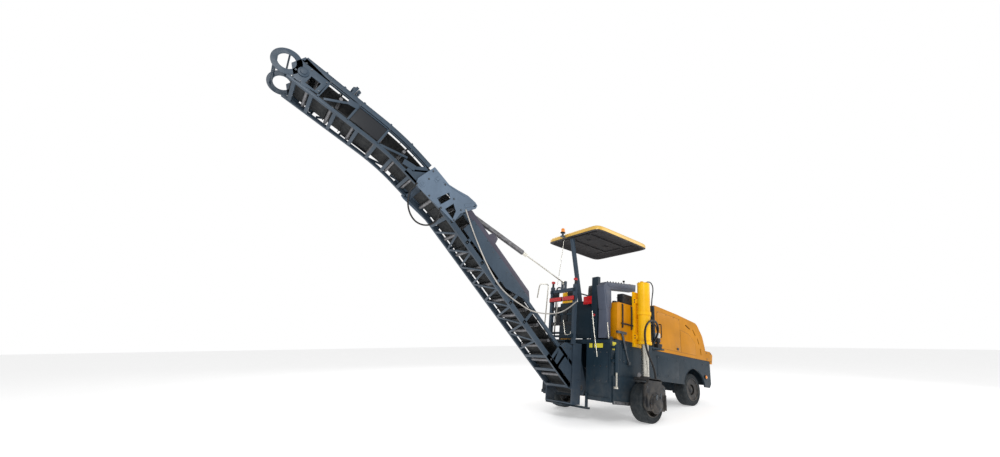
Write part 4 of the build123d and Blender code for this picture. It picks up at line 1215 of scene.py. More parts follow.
class PLANER_OT_legs(bpy.types.Operator):
    """Rear legs: bright rods, flanges, fork plates and hub motors with their fittings"""
    bl_idname = "planer.legs"
    bl_label = "Rear legs"

    def execute(self, context):
        for name, hand in (("right", -1), ("left", 1)):
            body = f"leg_{name}"
            leg = Piece(BODY)
            leg.rod((0, hand * leg_y, 0.66), (0, hand * leg_y, 1.72), 0.062, 64)
            leg.paint = 1
            low, high = between(hand, 0.85, 1.135)
            leg.block((-0.165, low, 0.63), (0.165, high, 0.67), 0.006)
            leg.turned([(0.062, 0), (0.085, 0), (0.085, 0.012), (0.07, 0.022), (0.062, 0.022), (0.062, 0)],
                       shift((0, hand * leg_y, 0.67)), 48)
            fork = Piece(FLANK)
            outline = [
                (-0.165, 0.665), (0.165, 0.665), (0.18, 0.6), (0.27, 0.56), (0.285, 0.25), (0.23, 0.19),
                (-0.21, 0.19), (-0.265, 0.25), (-0.25, 0.56), (-0.18, 0.6),
            ]
            fork.plate(outline[::-1], *band(hand, 1.095, 0.04), ease=0.006)
            out = shift((0, 0.3, -hand * 1.135)) @ side_turn(-hand)
            fork.turned([(0, 0), (0.15, 0), (0.15, 0.012), (0.122, 0.02), (0.118, 0.045), (0.09, 0.06),
                         (0.05, 0.0695), (0, 0.0695)], out, 64)
            ribs = [(-0.225, 0.3), (0.235, 0.3)]
            for x, z in ribs:
                fork.block((x - 0.012, z - 0.09, 0), (x + 0.012, z + 0.14, 0.03), 0.004,
                           shift((0, 0, min(band(hand, 1.135, 0.03)))))
            fork.done(f"fork_{name}", body, "dark", "dark")
            leg.turned([(0, 0), (0.05, 0), (0.05, 0.155), (0, 0.155)], shift((0, hand * 0.94, 0.3))
                       @ spin(-hand * pi / 2, "X"), 48)
            made = leg.done(f"rear_leg_{name}_dressed", body, "dark", "rod", "dark")
            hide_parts(f"rear_leg_{name}")
            spots = []
            for k in range(12):
                t = 2 * pi * k / 12
                spots.append(flank_bolt(hand, 0.136 * cos(t), 1.1475, 0.3 + 0.136 * sin(t), 0.008))
            for x in (-0.13, 0.13):
                for y in (0.88, 1.03, 1.1):
                    spots.append((body_spot(x, hand * y, 0.671), body_way(0, 0, 1), 0.01))
            for x, z in ((-0.21, 0.53), (0.22, 0.53), (0.24, 0.24), (-0.22, 0.24)):
                spots.append(flank_bolt(hand, x, 1.136, z, 0.011))
            bolts(f"leg_bolts_{name}", body, spots)
            ports = Piece(BODY)
            for x, z in ((-0.06, 0.37), (0.05, 0.4), (0.02, 0.22)):
                ports.rod((x, hand * 1.17, z), (x, hand * 1.2035, z), 0.016, 12)
                ports.rod((x, hand * 1.185, z), (x + 0.03, hand * 1.185, z + 0.06), 0.011, 16)
            ports.done(f"hub_ports_{name}", body, "steel", "zinc")
        return {"FINISHED"}


def ribbon(shape, start, end, low, high):
    """Outline of a strip between two heights along a bending run."""
    first, bend, radius = shape
    last = first + radius * radians(bend)
    marks = [start, end] + [first + (last - first) * k / 10 for k in range(11)]
    marks = sorted({mark for mark in marks if start <= mark <= end})

    def row(height):
        return [tuple(station(shape, s, height).translation[:2]) for s in marks]
    return row(low) + row(high)[::-1]


def bent(shape, points):
    """Points given along a bending run and over its lower chord, as places in the run's frame."""
    return [tuple(station(shape, s, n).translation[:2]) for s, n in points]


def bar(start, end, width):
    """Outline of a straight bar between two points."""
    start, end = Vector(start), Vector(end)
    way = (end - start).normalized() * width / 2
    side = Vector((-way.y, way.x))
    return [tuple(start - side), tuple(end - side), tuple(end + side), tuple(start + side)]


def ring(x, y, radius, sides=48):
    return [(x + radius * cos(2 * pi * k / sides), y + radius * sin(2 * pi * k / sides))
            for k in range(sides)]


run_half = 0.29
upper_half = 0.272
lower_end_s = fold_s - 0.08
upper_end_s = 0.3 + 3.34 * radians(12) + 1.21
lift_pin = (0.24, 0.2)
tail = (0.1, 0.2)


def both_sides(half, thick):
    """Low and high along a run's Z of a sheet just inside each side."""
    return [between(hand, half - thick, half) for hand in (-1, 1)]


class PLANER_OT_lower_frame(bpy.types.Operator):
    """Lower conveyor frame: shaped foot plates, chords, posts, zigzag braces and rollers"""
    bl_idname = "planer.lower_frame"
    bl_label = "Lower conveyor frame"

    def execute(self, context):
        sizes = context.scene.planer_sizes
        piece = Piece(LOWER)
        foot = [
            (-0.02, 0.15), (0.06, 0.06), (0.3, 0.0), (1.0, 0.0), (1.0, 0.085), (0.82, 0.085),
            (0.9, 0.36), (0.86, 0.48), (0.62, 0.61), (0.4, 0.54), (0.02, 0.31),
        ]
        for low, high in both_sides(run_half, 0.01):
            piece.plate(foot, low, high, 0.002, holes=[ring(*tail, 0.045)])
            posts = [0.73, 0.9, 1.7] + [2.1 + 0.4 * k for k in range(6)]
            for s in posts:
                piece.plate(bar(*bent(LOWER_SHAPE, [(s, 0.02), (s, 0.34)]), 0.05), low, high, 0.002)
        for low, high in both_sides(run_half, 0.04):
            piece.plate(ribbon(LOWER_SHAPE, 0.3, lower_end_s, 0.0, 0.085), low, high, 0.004)
            piece.plate(ribbon(LOWER_SHAPE, 0.3, lower_end_s, 0.3, 0.36), low, high, 0.004)
        for low, high in both_sides(run_half - 0.041, 0.004):
            piece.plate(ribbon(LOWER_SHAPE, 0.32, lower_end_s, 0.07, 0.078), low, high, 0.001)
        flat = spin(-pi / 2, "X")
        for step in range(14):
            near, far = 1.16 + 0.18 * step, 1.34 + 0.18 * step
            hand = 1 - 2 * (step % 2)
            piece.plate(bar((near, -hand * 0.28), (far, hand * 0.28), 0.036), 0.0005, 0.0125, 0.002, flat)
        for s in (0.33, 0.7, 1.0):
            piece.block((s - 0.03, 0.0005, -0.28), (s + 0.03, 0.0125, 0.28), 0.003)
        piece.block((3.77, 0.0005, -0.28), (3.83, 0.0125, 0.28), 0.003)
        for hand in (-1, 1):
            ends = between(hand, 0.28, 0.322)
            piece.rod((*lift_pin, ends[0]), (*lift_pin, ends[1]), 0.04, 40)
            plate = between(hand, 0.29, 0.294)
            piece.turned([(0.0, 0), (0.028, 0), (0.028, 0.006), (0.02, 0.009), (0, 0.009)],
                         shift((*lift_pin, hand * 0.3225)) @ side_turn(hand), 32)
            for start, end in (((0.28, 0.04), (0.84, 0.5)), ((0.1, 0.33), (0.62, 0.58))):
                piece.plate(bar(start, end, 0.012), *plate, 0.001)
        made = piece.done("lower_frame_dressed", "lower_conveyor", "slate", "conveyor")
        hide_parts("conveyor_lower_frame")
        idlers = Piece(LOWER @ spin(pi / 2, "X"))
        for n, width, start in ((0.27, 0.43, 1.1), (0.0565, 0.43, 0.55)):
            path = [(s, 0, -n) for s, n in bent(LOWER_SHAPE,
                                                [(start + (lower_end_s - 0.2 - start) * k / 12, n)
                                                 for k in range(13)])]
            idlers.add_mesh(trees["rollers"].mesh(line_mesh(path), finishes["steel"],
                                                  Pitch=sizes.roller_pitch, Radius=sizes.roller - 0.001,
                                                  Width=width))
        idlers.done("lower_rollers", "lower_conveyor", "steel", "steel")
        spots = []
        for hand in (-1, 1):
            for s, n in ((0.36, 0.08), (0.52, 0.08), (0.68, 0.08), (0.9, 0.045), (0.3, 0.42), (0.5, 0.5),
                         (0.7, 0.5), (0.82, 0.4)):
                spots.append(run_bolt(LOWER, hand, s, n, 0.291, 0.011))
            for s in (1.7, 2.1, 2.5, 2.9, 3.3, 3.7):
                for n in (0.045, 0.33):
                    spots.append(run_bolt(LOWER, hand, s, n, 0.291, 0.009))
        bolts("lower_bolts", "lower_conveyor", spots)
        return {"FINISHED"}


class PLANER_OT_cover(bpy.types.Operator):
    """Cover of the lower conveyor with its hump, side skirts and folded rims"""
    bl_idname = "planer.cover"
    bl_label = "Conveyor cover"

    def execute(self, context):
        piece = Piece(LOWER)
        line = [(1.86, 0.362), (1.99, 0.47), (2.98, 0.47), (3.01, 0.565), (3.13, 0.565), (3.16, 0.47),
                (3.64, 0.47), (3.7, 0.362)]
        for start, end in zip(line, line[1:]):
            piece.plate(bar(start, end, 0.006), -0.288, 0.288, 0.001)
        for low, high in both_sides(0.29, 0.006):
            piece.plate(line[::-1], low, high, 0.001)
        piece.paint = 1
        skirt = [(2.33, 0.13), (3.5, 0.13), (3.5, 0.39), (1.93, 0.39), (1.88, 0.36), (1.98, 0.29)]
        for low, high in both_sides(0.2963, 0.006):
            piece.plate(skirt, low, high, 0.002)
        piece.paint = 0
        for s in (2.0, 2.5, 2.97, 3.17, 3.62):
            piece.block((s - 0.012, 0.472, -0.27), (s + 0.012, 0.4765, 0.27), 0.001)
        made = piece.done("lower_cover_dressed", "lower_conveyor", "slate", "cover", "conveyor")
        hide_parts("conveyor_lower_cover")
        spots = []
        for hand in (-1, 1):
            for s in (2.05, 2.4, 2.75, 3.1, 3.42):
                spots.append(run_bolt(LOWER, hand, s, 0.375, 0.2967, 0.008))
            for s in (2.42, 2.95, 3.42):
                spots.append(run_bolt(LOWER, hand, s, 0.15, 0.2967, 0.008))
        bolts("cover_bolts", "lower_conveyor", spots)
        return {"FINISHED"}


class PLANER_OT_gussets(bpy.types.Operator):
    """Fold gussets with their windows, pins, keeper plates and cross tube"""
    bl_idname = "planer.gussets"
    bl_label = "Fold gussets"

    def execute(self, context):
        outline = [
            (0.06, -0.07), (0.003, -0.081), (-0.744, -0.046), (-0.728, 0.15), (-0.862, 0.43), (-0.85, 0.49),
            (-0.79, 0.505), (-0.628, 0.484), (-0.453, 0.411), (-0.294, 0.356), (0.052, 0.376),
            (0.096, 0.022),
        ]
        windows = [
            [(-0.306, 0.029), (-0.378, 0.26), (-0.462, 0.193), (-0.411, -0.007)],
            [(-0.506, -0.002), (-0.546, 0.183), (-0.654, 0.118), (-0.697, -0.021)],
        ]
        piece = Piece(UPPER)
        for low, high in both_sides(0.302, 0.012):
            piece.plate(outline, low, high, 0.002, holes=windows)
        for hand in (-1, 1):
            for x, y, radius, reach in ((0, 0, 0.025, 0.31), (-0.11, 0.255, 0.022, 0.319)):
                ends = between(hand, 0.25 if radius > 0.023 else 0.29, reach)
                piece.rod((x, y, ends[0]), (x, y, ends[1]), radius, 40)
            rim = between(hand, 0.302, 0.308)
            piece.plate(ring(0, 0, 0.05), *rim, 0.001, holes=[ring(0, 0, 0.027)])
            piece.plate(bar((-0.11, 0.2), (-0.11, 0.31), 0.05), *rim, 0.002)
            piece.plate(bar((-0.7, 0.3), (-0.8, 0.46), 0.05), *rim, 0.002)
            piece.plate(bar((-0.6, 0.43), (-0.2, 0.31), 0.012), *rim, 0.001)
        hoist_eye = UPPER.inverted() @ lower_spot(3.68, 0.55)
        for hand in (-1, 1):
            ends = between(hand, 0.025, 0.302)
            piece.rod((hoist_eye.x, hoist_eye.y, ends[0]), (hoist_eye.x, hoist_eye.y, ends[1]), 0.028, 32)
        piece.rod((hoist_eye.x, hoist_eye.y, -0.03), (hoist_eye.x, hoist_eye.y, 0.03), 0.0149, 32)
        made = piece.done("fold_gussets_dressed", "lower_conveyor", "slate", "gusset")
        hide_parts("fold_gussets")
        spots = []
        for hand in (-1, 1):
            for x, y in ((-0.72, -0.02), (-0.45, -0.035), (-0.2, -0.045), (-0.7, 0.2), (-0.5, 0.24),
                         (-0.25, 0.3), (0.02, 0.3), (-0.02, 0.15)):
                spots.append(run_bolt(UPPER, hand, x, y, 0.3025, 0.011))
        bolts("gusset_bolts", "lower_conveyor", spots)
        return {"FINISHED"}


class PLANER_OT_upper_frame(bpy.types.Operator):
    """Upper conveyor frame: chords, sideboards, braces, head plates with guard rings, drive and rollers"""
    bl_idname = "planer.upper_frame"
    bl_label = "Upper conveyor frame"

    def execute(self, context):
        sizes = context.scene.planer_sizes
        piece = Piece(UPPER)

        def at(points):
            return bent(UPPER_SHAPE, points)
        head_s = upper_end_s - 0.11
        ring_at = at([(upper_end_s + 0.11, 0.12)])[0]
        head = [(1.786, 0.014), (2.118, -0.037), (2.272, 0.143), (2.209, 0.353), (1.803, 0.29)]
        window = [(1.86, 0.03), (2.0, 0.03), (2.0, 0.17), (1.86, 0.17)]
        for hand in (-1, 1):
            skin = between(hand, upper_half - 0.01, upper_half)
            deep = between(hand, upper_half - 0.04, upper_half)
            piece.plate(ribbon(UPPER_SHAPE, 0.02, upper_end_s, -0.06, -0.015), *deep, 0.004)
            piece.plate(ribbon(UPPER_SHAPE, 0.02, upper_end_s, 0.27, 0.3), *deep, 0.004)
            piece.plate(ribbon(UPPER_SHAPE, 0.1, upper_end_s - 0.02, 0.28, 0.37), *skin, 0.002)
            piece.plate(ribbon(UPPER_SHAPE, 0.1, upper_end_s - 0.02, 0.365, 0.372),
                        *between(hand, upper_half - 0.025, upper_half), 0.001)
            piece.plate(ring(0, 0, 0.055), *skin, 0.001, holes=[ring(0, 0, 0.0255)])
            for s in (0.84, 1.33, 1.79):
                piece.plate(bar(*at([(s, -0.03), (s, 0.28)]), 0.03), *skin, 0.002)
            for start, end in (((1.716, 0.007), (1.346, 0.28)), ((0.803, -0.015), (0.412, 0.143)),
                               ((0.24, 0.05), (0.02, 0.29))):
                piece.plate(bar(*at([start, end]), 0.034), *skin, 0.002)
            # A charcoal sheet just inside the open bay between the posts at 0.84 and 1.33: painted shade
            # for the dark inside seen through the bay.
            piece.paint = 1
            piece.plate(at([(0.84, 0.015), (1.33, 0.015), (1.33, 0.265), (0.84, 0.265)]),
                        *between(hand, upper_half - 0.018, upper_half - 0.012), 0.001)
            piece.paint = 0
            piece.plate(bar(*at([(1.325, 0.25), (1.475, 0.22)]), 0.09), *between(hand, upper_half,
                    upper_half + 0.006), 0.002)
            piece.plate(bar(*at([(0.225, 0.11), (0.415, 0.05)]), 0.09), *between(hand, upper_half,
                    upper_half + 0.006), 0.002)
            piece.plate(at([(0.0, -0.06), (0.3, -0.06), (0.3, 0.07), (0.12, 0.3), (0.02, 0.3)]), *skin,
                        0.002, holes=[ring(0, 0, 0.0255)])
            piece.plate(at(head), *skin, 0.002, holes=[at(window)])
            piece.plate(ring(*ring_at, 0.19, 64), *skin, 0.002, holes=[ring(*ring_at, 0.112, 64)])
            cap = shift((*at([(head_s, 0.14)])[0], hand * upper_half)) @ side_turn(hand)
            piece.turned([(0, 0), (0.07, 0), (0.07, 0.012), (0.045, 0.018), (0.04, 0.03), (0, 0.032)]
                         if hand < 0 else [(0, 0), (0.07, 0), (0.066, 0.02), (0.05, 0.028), (0, 0.029)],
                         cap, 40)
        for angle in (-60, 0, 60):
            x = ring_at[0] + 0.15 * cos(radians(angle))
            y = ring_at[1] + 0.15 * sin(radians(angle))
            piece.rod((x, y, -upper_half + 0.005), (x, y, upper_half - 0.005), 0.012, 20)
        for s in (0.2, 0.55, 0.84, 1.15, 1.5, 1.85, 2.1):
            x, y = at([(s, -0.0425)])[0]
            turn = shift((x, y, 0)) @ station(UPPER_SHAPE, s).to_3x3().to_4x4()
            piece.block((-0.025, -0.015, -upper_half + 0.02), (0.025, 0.015, upper_half - 0.02), 0.004,
                        turn)
        for s in (0.5, 0.86, 1.3, 1.62, 1.9):
            x, y = at([(s, 0.372)])[0]
            turn = shift((x, y, 0)) @ station(UPPER_SHAPE, s).to_3x3().to_4x4()
            piece.block((-0.014, 0.0, -upper_half + 0.002), (0.014, 0.016, upper_half - 0.002), 0.003, turn)
        made = piece.done("upper_frame_dressed", "upper_conveyor", "slate", "conveyor", "dark")
        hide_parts("conveyor_upper_frame")
        idlers = Piece(UPPER @ spin(pi / 2, "X"))
        for n in (0.2095, 0.0):
            path = [(x, 0, -y) for x, y in at([(0.15 + (head_s - 0.32) * k / 12, n) for k in range(13)])]
            idlers.add_mesh(trees["rollers"].mesh(line_mesh(path), finishes["steel"],
                                                  Pitch=sizes.roller_pitch, Radius=sizes.roller - 0.004,
                                                  Width=0.43))
        idlers.done("upper_rollers", "upper_conveyor", "steel", "steel")
        spots = []
        for hand in (-1, 1):
            face = hand * (upper_half + 0.001)
            for s, n in ((1.82, 0.05), (1.82, 0.24), (2.05, 0.25), (2.15, 0.28), (2.18, 0.1), (2.05, 0.0),
                         (0.84, 0.29), (1.33, 0.29), (1.79, 0.285), (0.45, 0.29)):
                spots.append((UPPER @ Vector((*at([(s, n)])[0], face)), Vector((0, hand, 0)), 0.009))
            for k in range(12):
                s = 0.2 + 0.16 * k
                spots.append((UPPER @ Vector((*at([(s, 0.325)])[0], face)), Vector((0, hand, 0)), 0.006))
        bolts("upper_bolts", "upper_conveyor", spots)
        bridge = Piece(UPPER)
        x, y = at([(1.5, 0.37)])[0]
        turn = shift((x, y, 0)) @ station(UPPER_SHAPE, 1.5).to_3x3().to_4x4()
        for z in (-0.262, 0.246):
            bridge.block((-0.02, -0.02, z), (0.02, 0.15, z + 0.016), 0.003, turn)
        bridge.block((-0.02, 0.135, -0.262), (0.02, 0.15, 0.262), 0.004, turn)
        bridge.block((-0.045, 0.15, -0.04), (0.045, 0.19, 0.06), 0.006, turn)
        out = turn @ shift((0.06, 0.24, 0.01)) @ spin(pi / 2, "Y")
        bridge.turned([(0, -0.11), (0.05, -0.11), (0.062, -0.08), (0.062, 0), (0.05, 0.02), (0, 0.02)],
                      out, 32)
        bridge.done("lamp_bridge", "upper_conveyor", "dark", "conveyor")
        return {"FINISHED"}


def cushion(name, low, high, channels, body):
    """A crowned cushion with sewn channels across it, drawn in at its seams."""
    part = bmesh.new()
    bmesh.ops.create_cube(part, size=2)
    bmesh.ops.subdivide_edges(part, edges=part.edges[:], cuts=23, use_grid_fill=True)
    size = [(b - a) / 2 for a, b in zip(low, high)]
    middle = Vector([(a + b) / 2 for a, b in zip(low, high)])
    thin = size.index(min(size))
    wide = [axis for axis in range(3) if axis != thin]
    for vert in part.verts:
        u, v = vert.co[wide[0]], vert.co[wide[1]]
        t = vert.co[thin]
        crown = (1 - 0.42 * abs(u) ** 4) * (1 - 0.42 * abs(v) ** 4)
        groove = 0.1 * max(0.0, 1 - abs(((v + 1) * channels / 2 + 0.5) % 1 - 0.5) / 0.07) * (abs(t) > 0.6)
        puff = 1 - 0.06 * t * t
        corner = 1 - 0.05 * (u * v) ** 2
        place = [0.0, 0.0, 0.0]
        place[thin] = t * size[thin] * (crown - groove)
        place[wide[0]] = u * size[wide[0]] * puff * corner * (1 - 0.03 * (1 - v * v))
        place[wide[1]] = v * size[wide[1]] * puff * corner * (1 - 0.03 * (1 - u * u))
        vert.co = middle + Vector(place)
    bmesh.ops.smooth_vert(part, verts=part.verts, factor=0.5, use_axis_x=True, use_axis_y=True,
                          use_axis_z=True)
    piece = Piece(BODY)
    piece.take(part)
    made = piece.done(name, body, "seat", "seat", crease=70)
    return made


class PLANER_OT_seat(bpy.types.Operator):
    """Operator's seat: pedestal with bellows, cushion and back"""
    bl_idname = "planer.seat"
    bl_label = "Seat"

    def execute(self, context):
        base = Piece(BODY)
        base.block((-0.37, -0.41, deck), (-0.01, -0.07, 1.25), 0.006)
        for k in range(7):
            z = 1.262 + 0.042 * k
            base.block((-0.35 + 0.012 * (k % 2), -0.39, z - 0.018), (-0.03, -0.09, z + 0.018), 0.012)
        base.block((-0.38, -0.44, 1.545), (0.02, -0.04, 1.598), 0.01)
        base.block((-0.437, -0.32, 1.56), (-0.42, -0.16, 1.8), 0.004)
        base.pipe([(-0.1, -0.445, 1.575), (0.03, -0.45, 1.575), (0.05, -0.45, 1.6)], 0.009, 0.02)
        made = base.done("seat_base", "chassis", "black", "black")
        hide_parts("seat")
        cushion("seat_cushion", (-0.42, -0.48, 1.6), (0.06, 0.0, 1.72), 3, "chassis")
        cushion("seat_back", (-0.44, -0.47, 1.722), (-0.34, -0.01, 2.25), 4, "chassis")
        return {"FINISHED"}


class PLANER_OT_station(bpy.types.Operator):
    """Operator's station: tank fittings, tool box, console, rails, canopy with its ribs, and deck"""
    bl_idname = "planer.station"
    bl_label = "Operator's station"

    def execute(self, context):
        rail = context.scene.planer_sizes.rail
        rails = Piece(BODY)
        rail_y, rail_top = 0.76, 2.285
        loop = [(-0.5, rail_y, 1.221), (-0.5, rail_y, rail_top), (0.5, rail_y, rail_top),
                (0.5, rail_y, 1.221)]
        rails.pipe(loop, rail - 0.002, 0.09)
        rails.pipe([(-0.499, rail_y, 1.775), (0.499, rail_y, 1.775)], 0.013)
        for x in (-0.5, 0.5):
            rails.block((x - 0.04, 0.725, deck), (x + 0.04, 0.795, 1.23), 0.003)
        made = rails.done("handrails_round", "chassis", "dark", "dark")
        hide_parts("handrails")
        guard = Piece(BODY)
        for x in (-0.39, -0.15):
            guard.pipe([(x, -0.79, 1.43), (x, -0.8145, 1.44), (x, -0.8145, 1.82), (x, -0.79, 1.83)], 0.013,
                       0.02)
        guard.pipe([(-0.42, -0.8145, 1.5), (-0.12, -0.8145, 1.5)], 0.013)
        guard.done("tank_guard", "chassis", "dark", "dark")
        box = Piece(BODY)
        box.block((-0.36, -0.79, 1.845), (-0.02, -0.66, 2.03), 0.03)
        box.block((-0.365, -0.795, 1.955), (-0.015, -0.655, 1.962), 0.002)
        box.block((-0.2, -0.797, 1.93), (-0.15, -0.788, 1.98), 0.003)
        box.done("tool_box", "chassis", "dark", "dark")
        cap = Piece(BODY)
        cap.turned([(0, 0), (0.045, 0), (0.045, 0.012), (0.04, 0.03), (0.032, 0.034), (0, 0.035)],
                   shift((-0.44, -0.68, 1.85)), 40)
        cap.done("tank_cap", "chassis", "black", "black")
        desk = Piece(FLANK)
        near, far = 0.54, 0.7
        desk.plate([(-0.685, deck), (-0.565, deck), (-0.565, 1.715), (-0.685, 1.715)], near, far, 0.008)
        desk.plate([(-0.56, 1.7), (-0.69, 1.7), (-0.75, 2.1), (-0.69, 2.17), (0.13, 2.29), (0.12, 2.16),
                    (-0.56, 2.07)], near, far, 0.008)
        desk.plate([(-0.55, 1.74), (-0.655, 1.74), (-0.7, 2.04), (-0.56, 2.04)], far, far + 0.005, 0.002)
        desk.plate([(-0.67, 1.26), (-0.58, 1.26), (-0.58, 1.66), (-0.67, 1.66)], far, far + 0.004, 0.002)
        desk.plate([(-0.6, 2.1), (-0.66, 2.155), (0.1, 2.266), (0.095, 2.19)], far, far + 0.004, 0.002)
        made = desk.done("console_dressed", "chassis", "slate", "console")
        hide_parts("console")
        controls = Piece(BODY @ shift((-0.69, -0.62, 2.17)) @ spin(-0.1453, "Y"))
        controls.block((0.02, -0.065, 0.0), (0.78, 0.065, 0.006), 0.002)
        for k in range(6):
            at = shift((0.1 + 0.075 * k, -0.03, 0.006))
            controls.turned([(0, 0), (0.014, 0), (0.014, 0.008), (0.009, 0.012), (0.009, 0.022),
                             (0, 0.023)], at, 20)
        controls.block((0.06, 0.005, 0.006), (0.4, 0.055, 0.012), 0.002)
        controls.rod((0.6, 0, 0.0), (0.59, 0, 0.045), 0.008)
        controls.turned([(0, 0), (0.018, 0.004), (0.022, 0.02), (0.017, 0.034), (0, 0.038)],
                        shift((0.59, 0, 0.04)), 24)
        controls.done("console_controls", "chassis", "black", "black")
        stops = Piece(BODY)
        button = [(0, 0), (0.022, 0), (0.022, 0.01), (0.014, 0.022), (0, 0.026)]
        stops.turned(button, shift((0.06, -0.62, 2.278)), 28)
        stops.turned(button, shift((-0.64, -0.4, 1.62)) @ spin(-pi / 2, "Y"), 28)
        stops.done("stop_buttons", "chassis", "red_lamp", "red")
        top = [(0.95, 3.15), (0.985, 3.1505), (1, 3.156), (0.998, 3.205), (0.985, 3.232), (0.95, 3.245),
               (0.75, 3.256), (0.45, 3.266), (0, 3.2695)]
        under = [(0, 3.222), (0.6, 3.22), (0.84, 3.212), (0.92, 3.17), (0.95, 3.15)]
        lining = [(0, 3.2215), (0.6, 3.2195), (0.8385, 3.2115), (0.9185, 3.1695), (0.9485, 3.1505),
                  (0.945, 3.15), (0.91, 3.166), (0.83, 3.205), (0.6, 3.213), (0, 3.2145)]
        for name, profile, finish, slot in (("canopy_dressed", under + top[1:], "roof", "yellow"),
                                            ("canopy_lining", lining, "felt", "black")):
            shell = Piece(BODY)
            shell.domed(profile, (-0.1, 0.06), (0.75, 0.69), 13)
            made = shell.done(name, "chassis", slot, finish, crease=50)
            if name == "canopy_dressed":
                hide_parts("canopy_roof")
        ribs = Piece(BODY)
        for x0, x1, y0, y1 in ((-0.66, 0.46, -0.22, -0.16), (-0.66, 0.46, 0.28, 0.34),
                               (-0.66, -0.6, -0.4, 0.52), (0.4, 0.46, -0.4, 0.52)):
            ribs.block((x0, y0, 3.196), (x1, y1, 3.2135), 0.006)
        for x in (-0.35, 0.15):
            ribs.turned([(0, 0), (0.05, 0), (0.05, 0.006), (0.03, 0.014), (0, 0.016)],
                        shift((x, 0.06, 3.2125)) @ spin(pi, "X"), 32)
        ribs.block((-0.86, 0.08, 3.13), (-0.66, 0.16, 3.151), 0.006)
        ribs.done("canopy_ribs", "chassis", "black", "felt")
        pole = Piece(BODY)
        pole.rod((-0.87, 0.34, 2.2), (-0.8, 0.3, 3.15), 0.006, 12)
        pole.done("aerial", "chassis", "rod", "rod")
        guard_rear = Piece(BODY)
        for y0, y1 in ((-0.29, -0.26), (0.53, 0.56)):
            guard_rear.block((-0.56, y0, deck), (-0.535, y1, 1.9), 0.004)
        guard_rear.block((-0.5585, -0.27, 1.23), (-0.5485, 0.54, 1.88), 0.004)
        guard_rear.block((-0.562, -0.29, 1.88), (-0.532, 0.56, 1.91), 0.008)
        guard_rear.done("rear_guard", "chassis", "slate", "slate")
        tread = Piece(BODY)
        tread.add_mesh(trees["buttons"].mesh(line_mesh([(0, 0, 0)]), finishes["steel"], Length=1.1,
                                             Width=1.05, Rows=28, Columns=27, Radius=0.012),
                                             shift((0.08, 0.12, 1.2225)))
        tread.done("deck_buttons", "chassis", "steel", "steel")
        return {"FINISHED"}


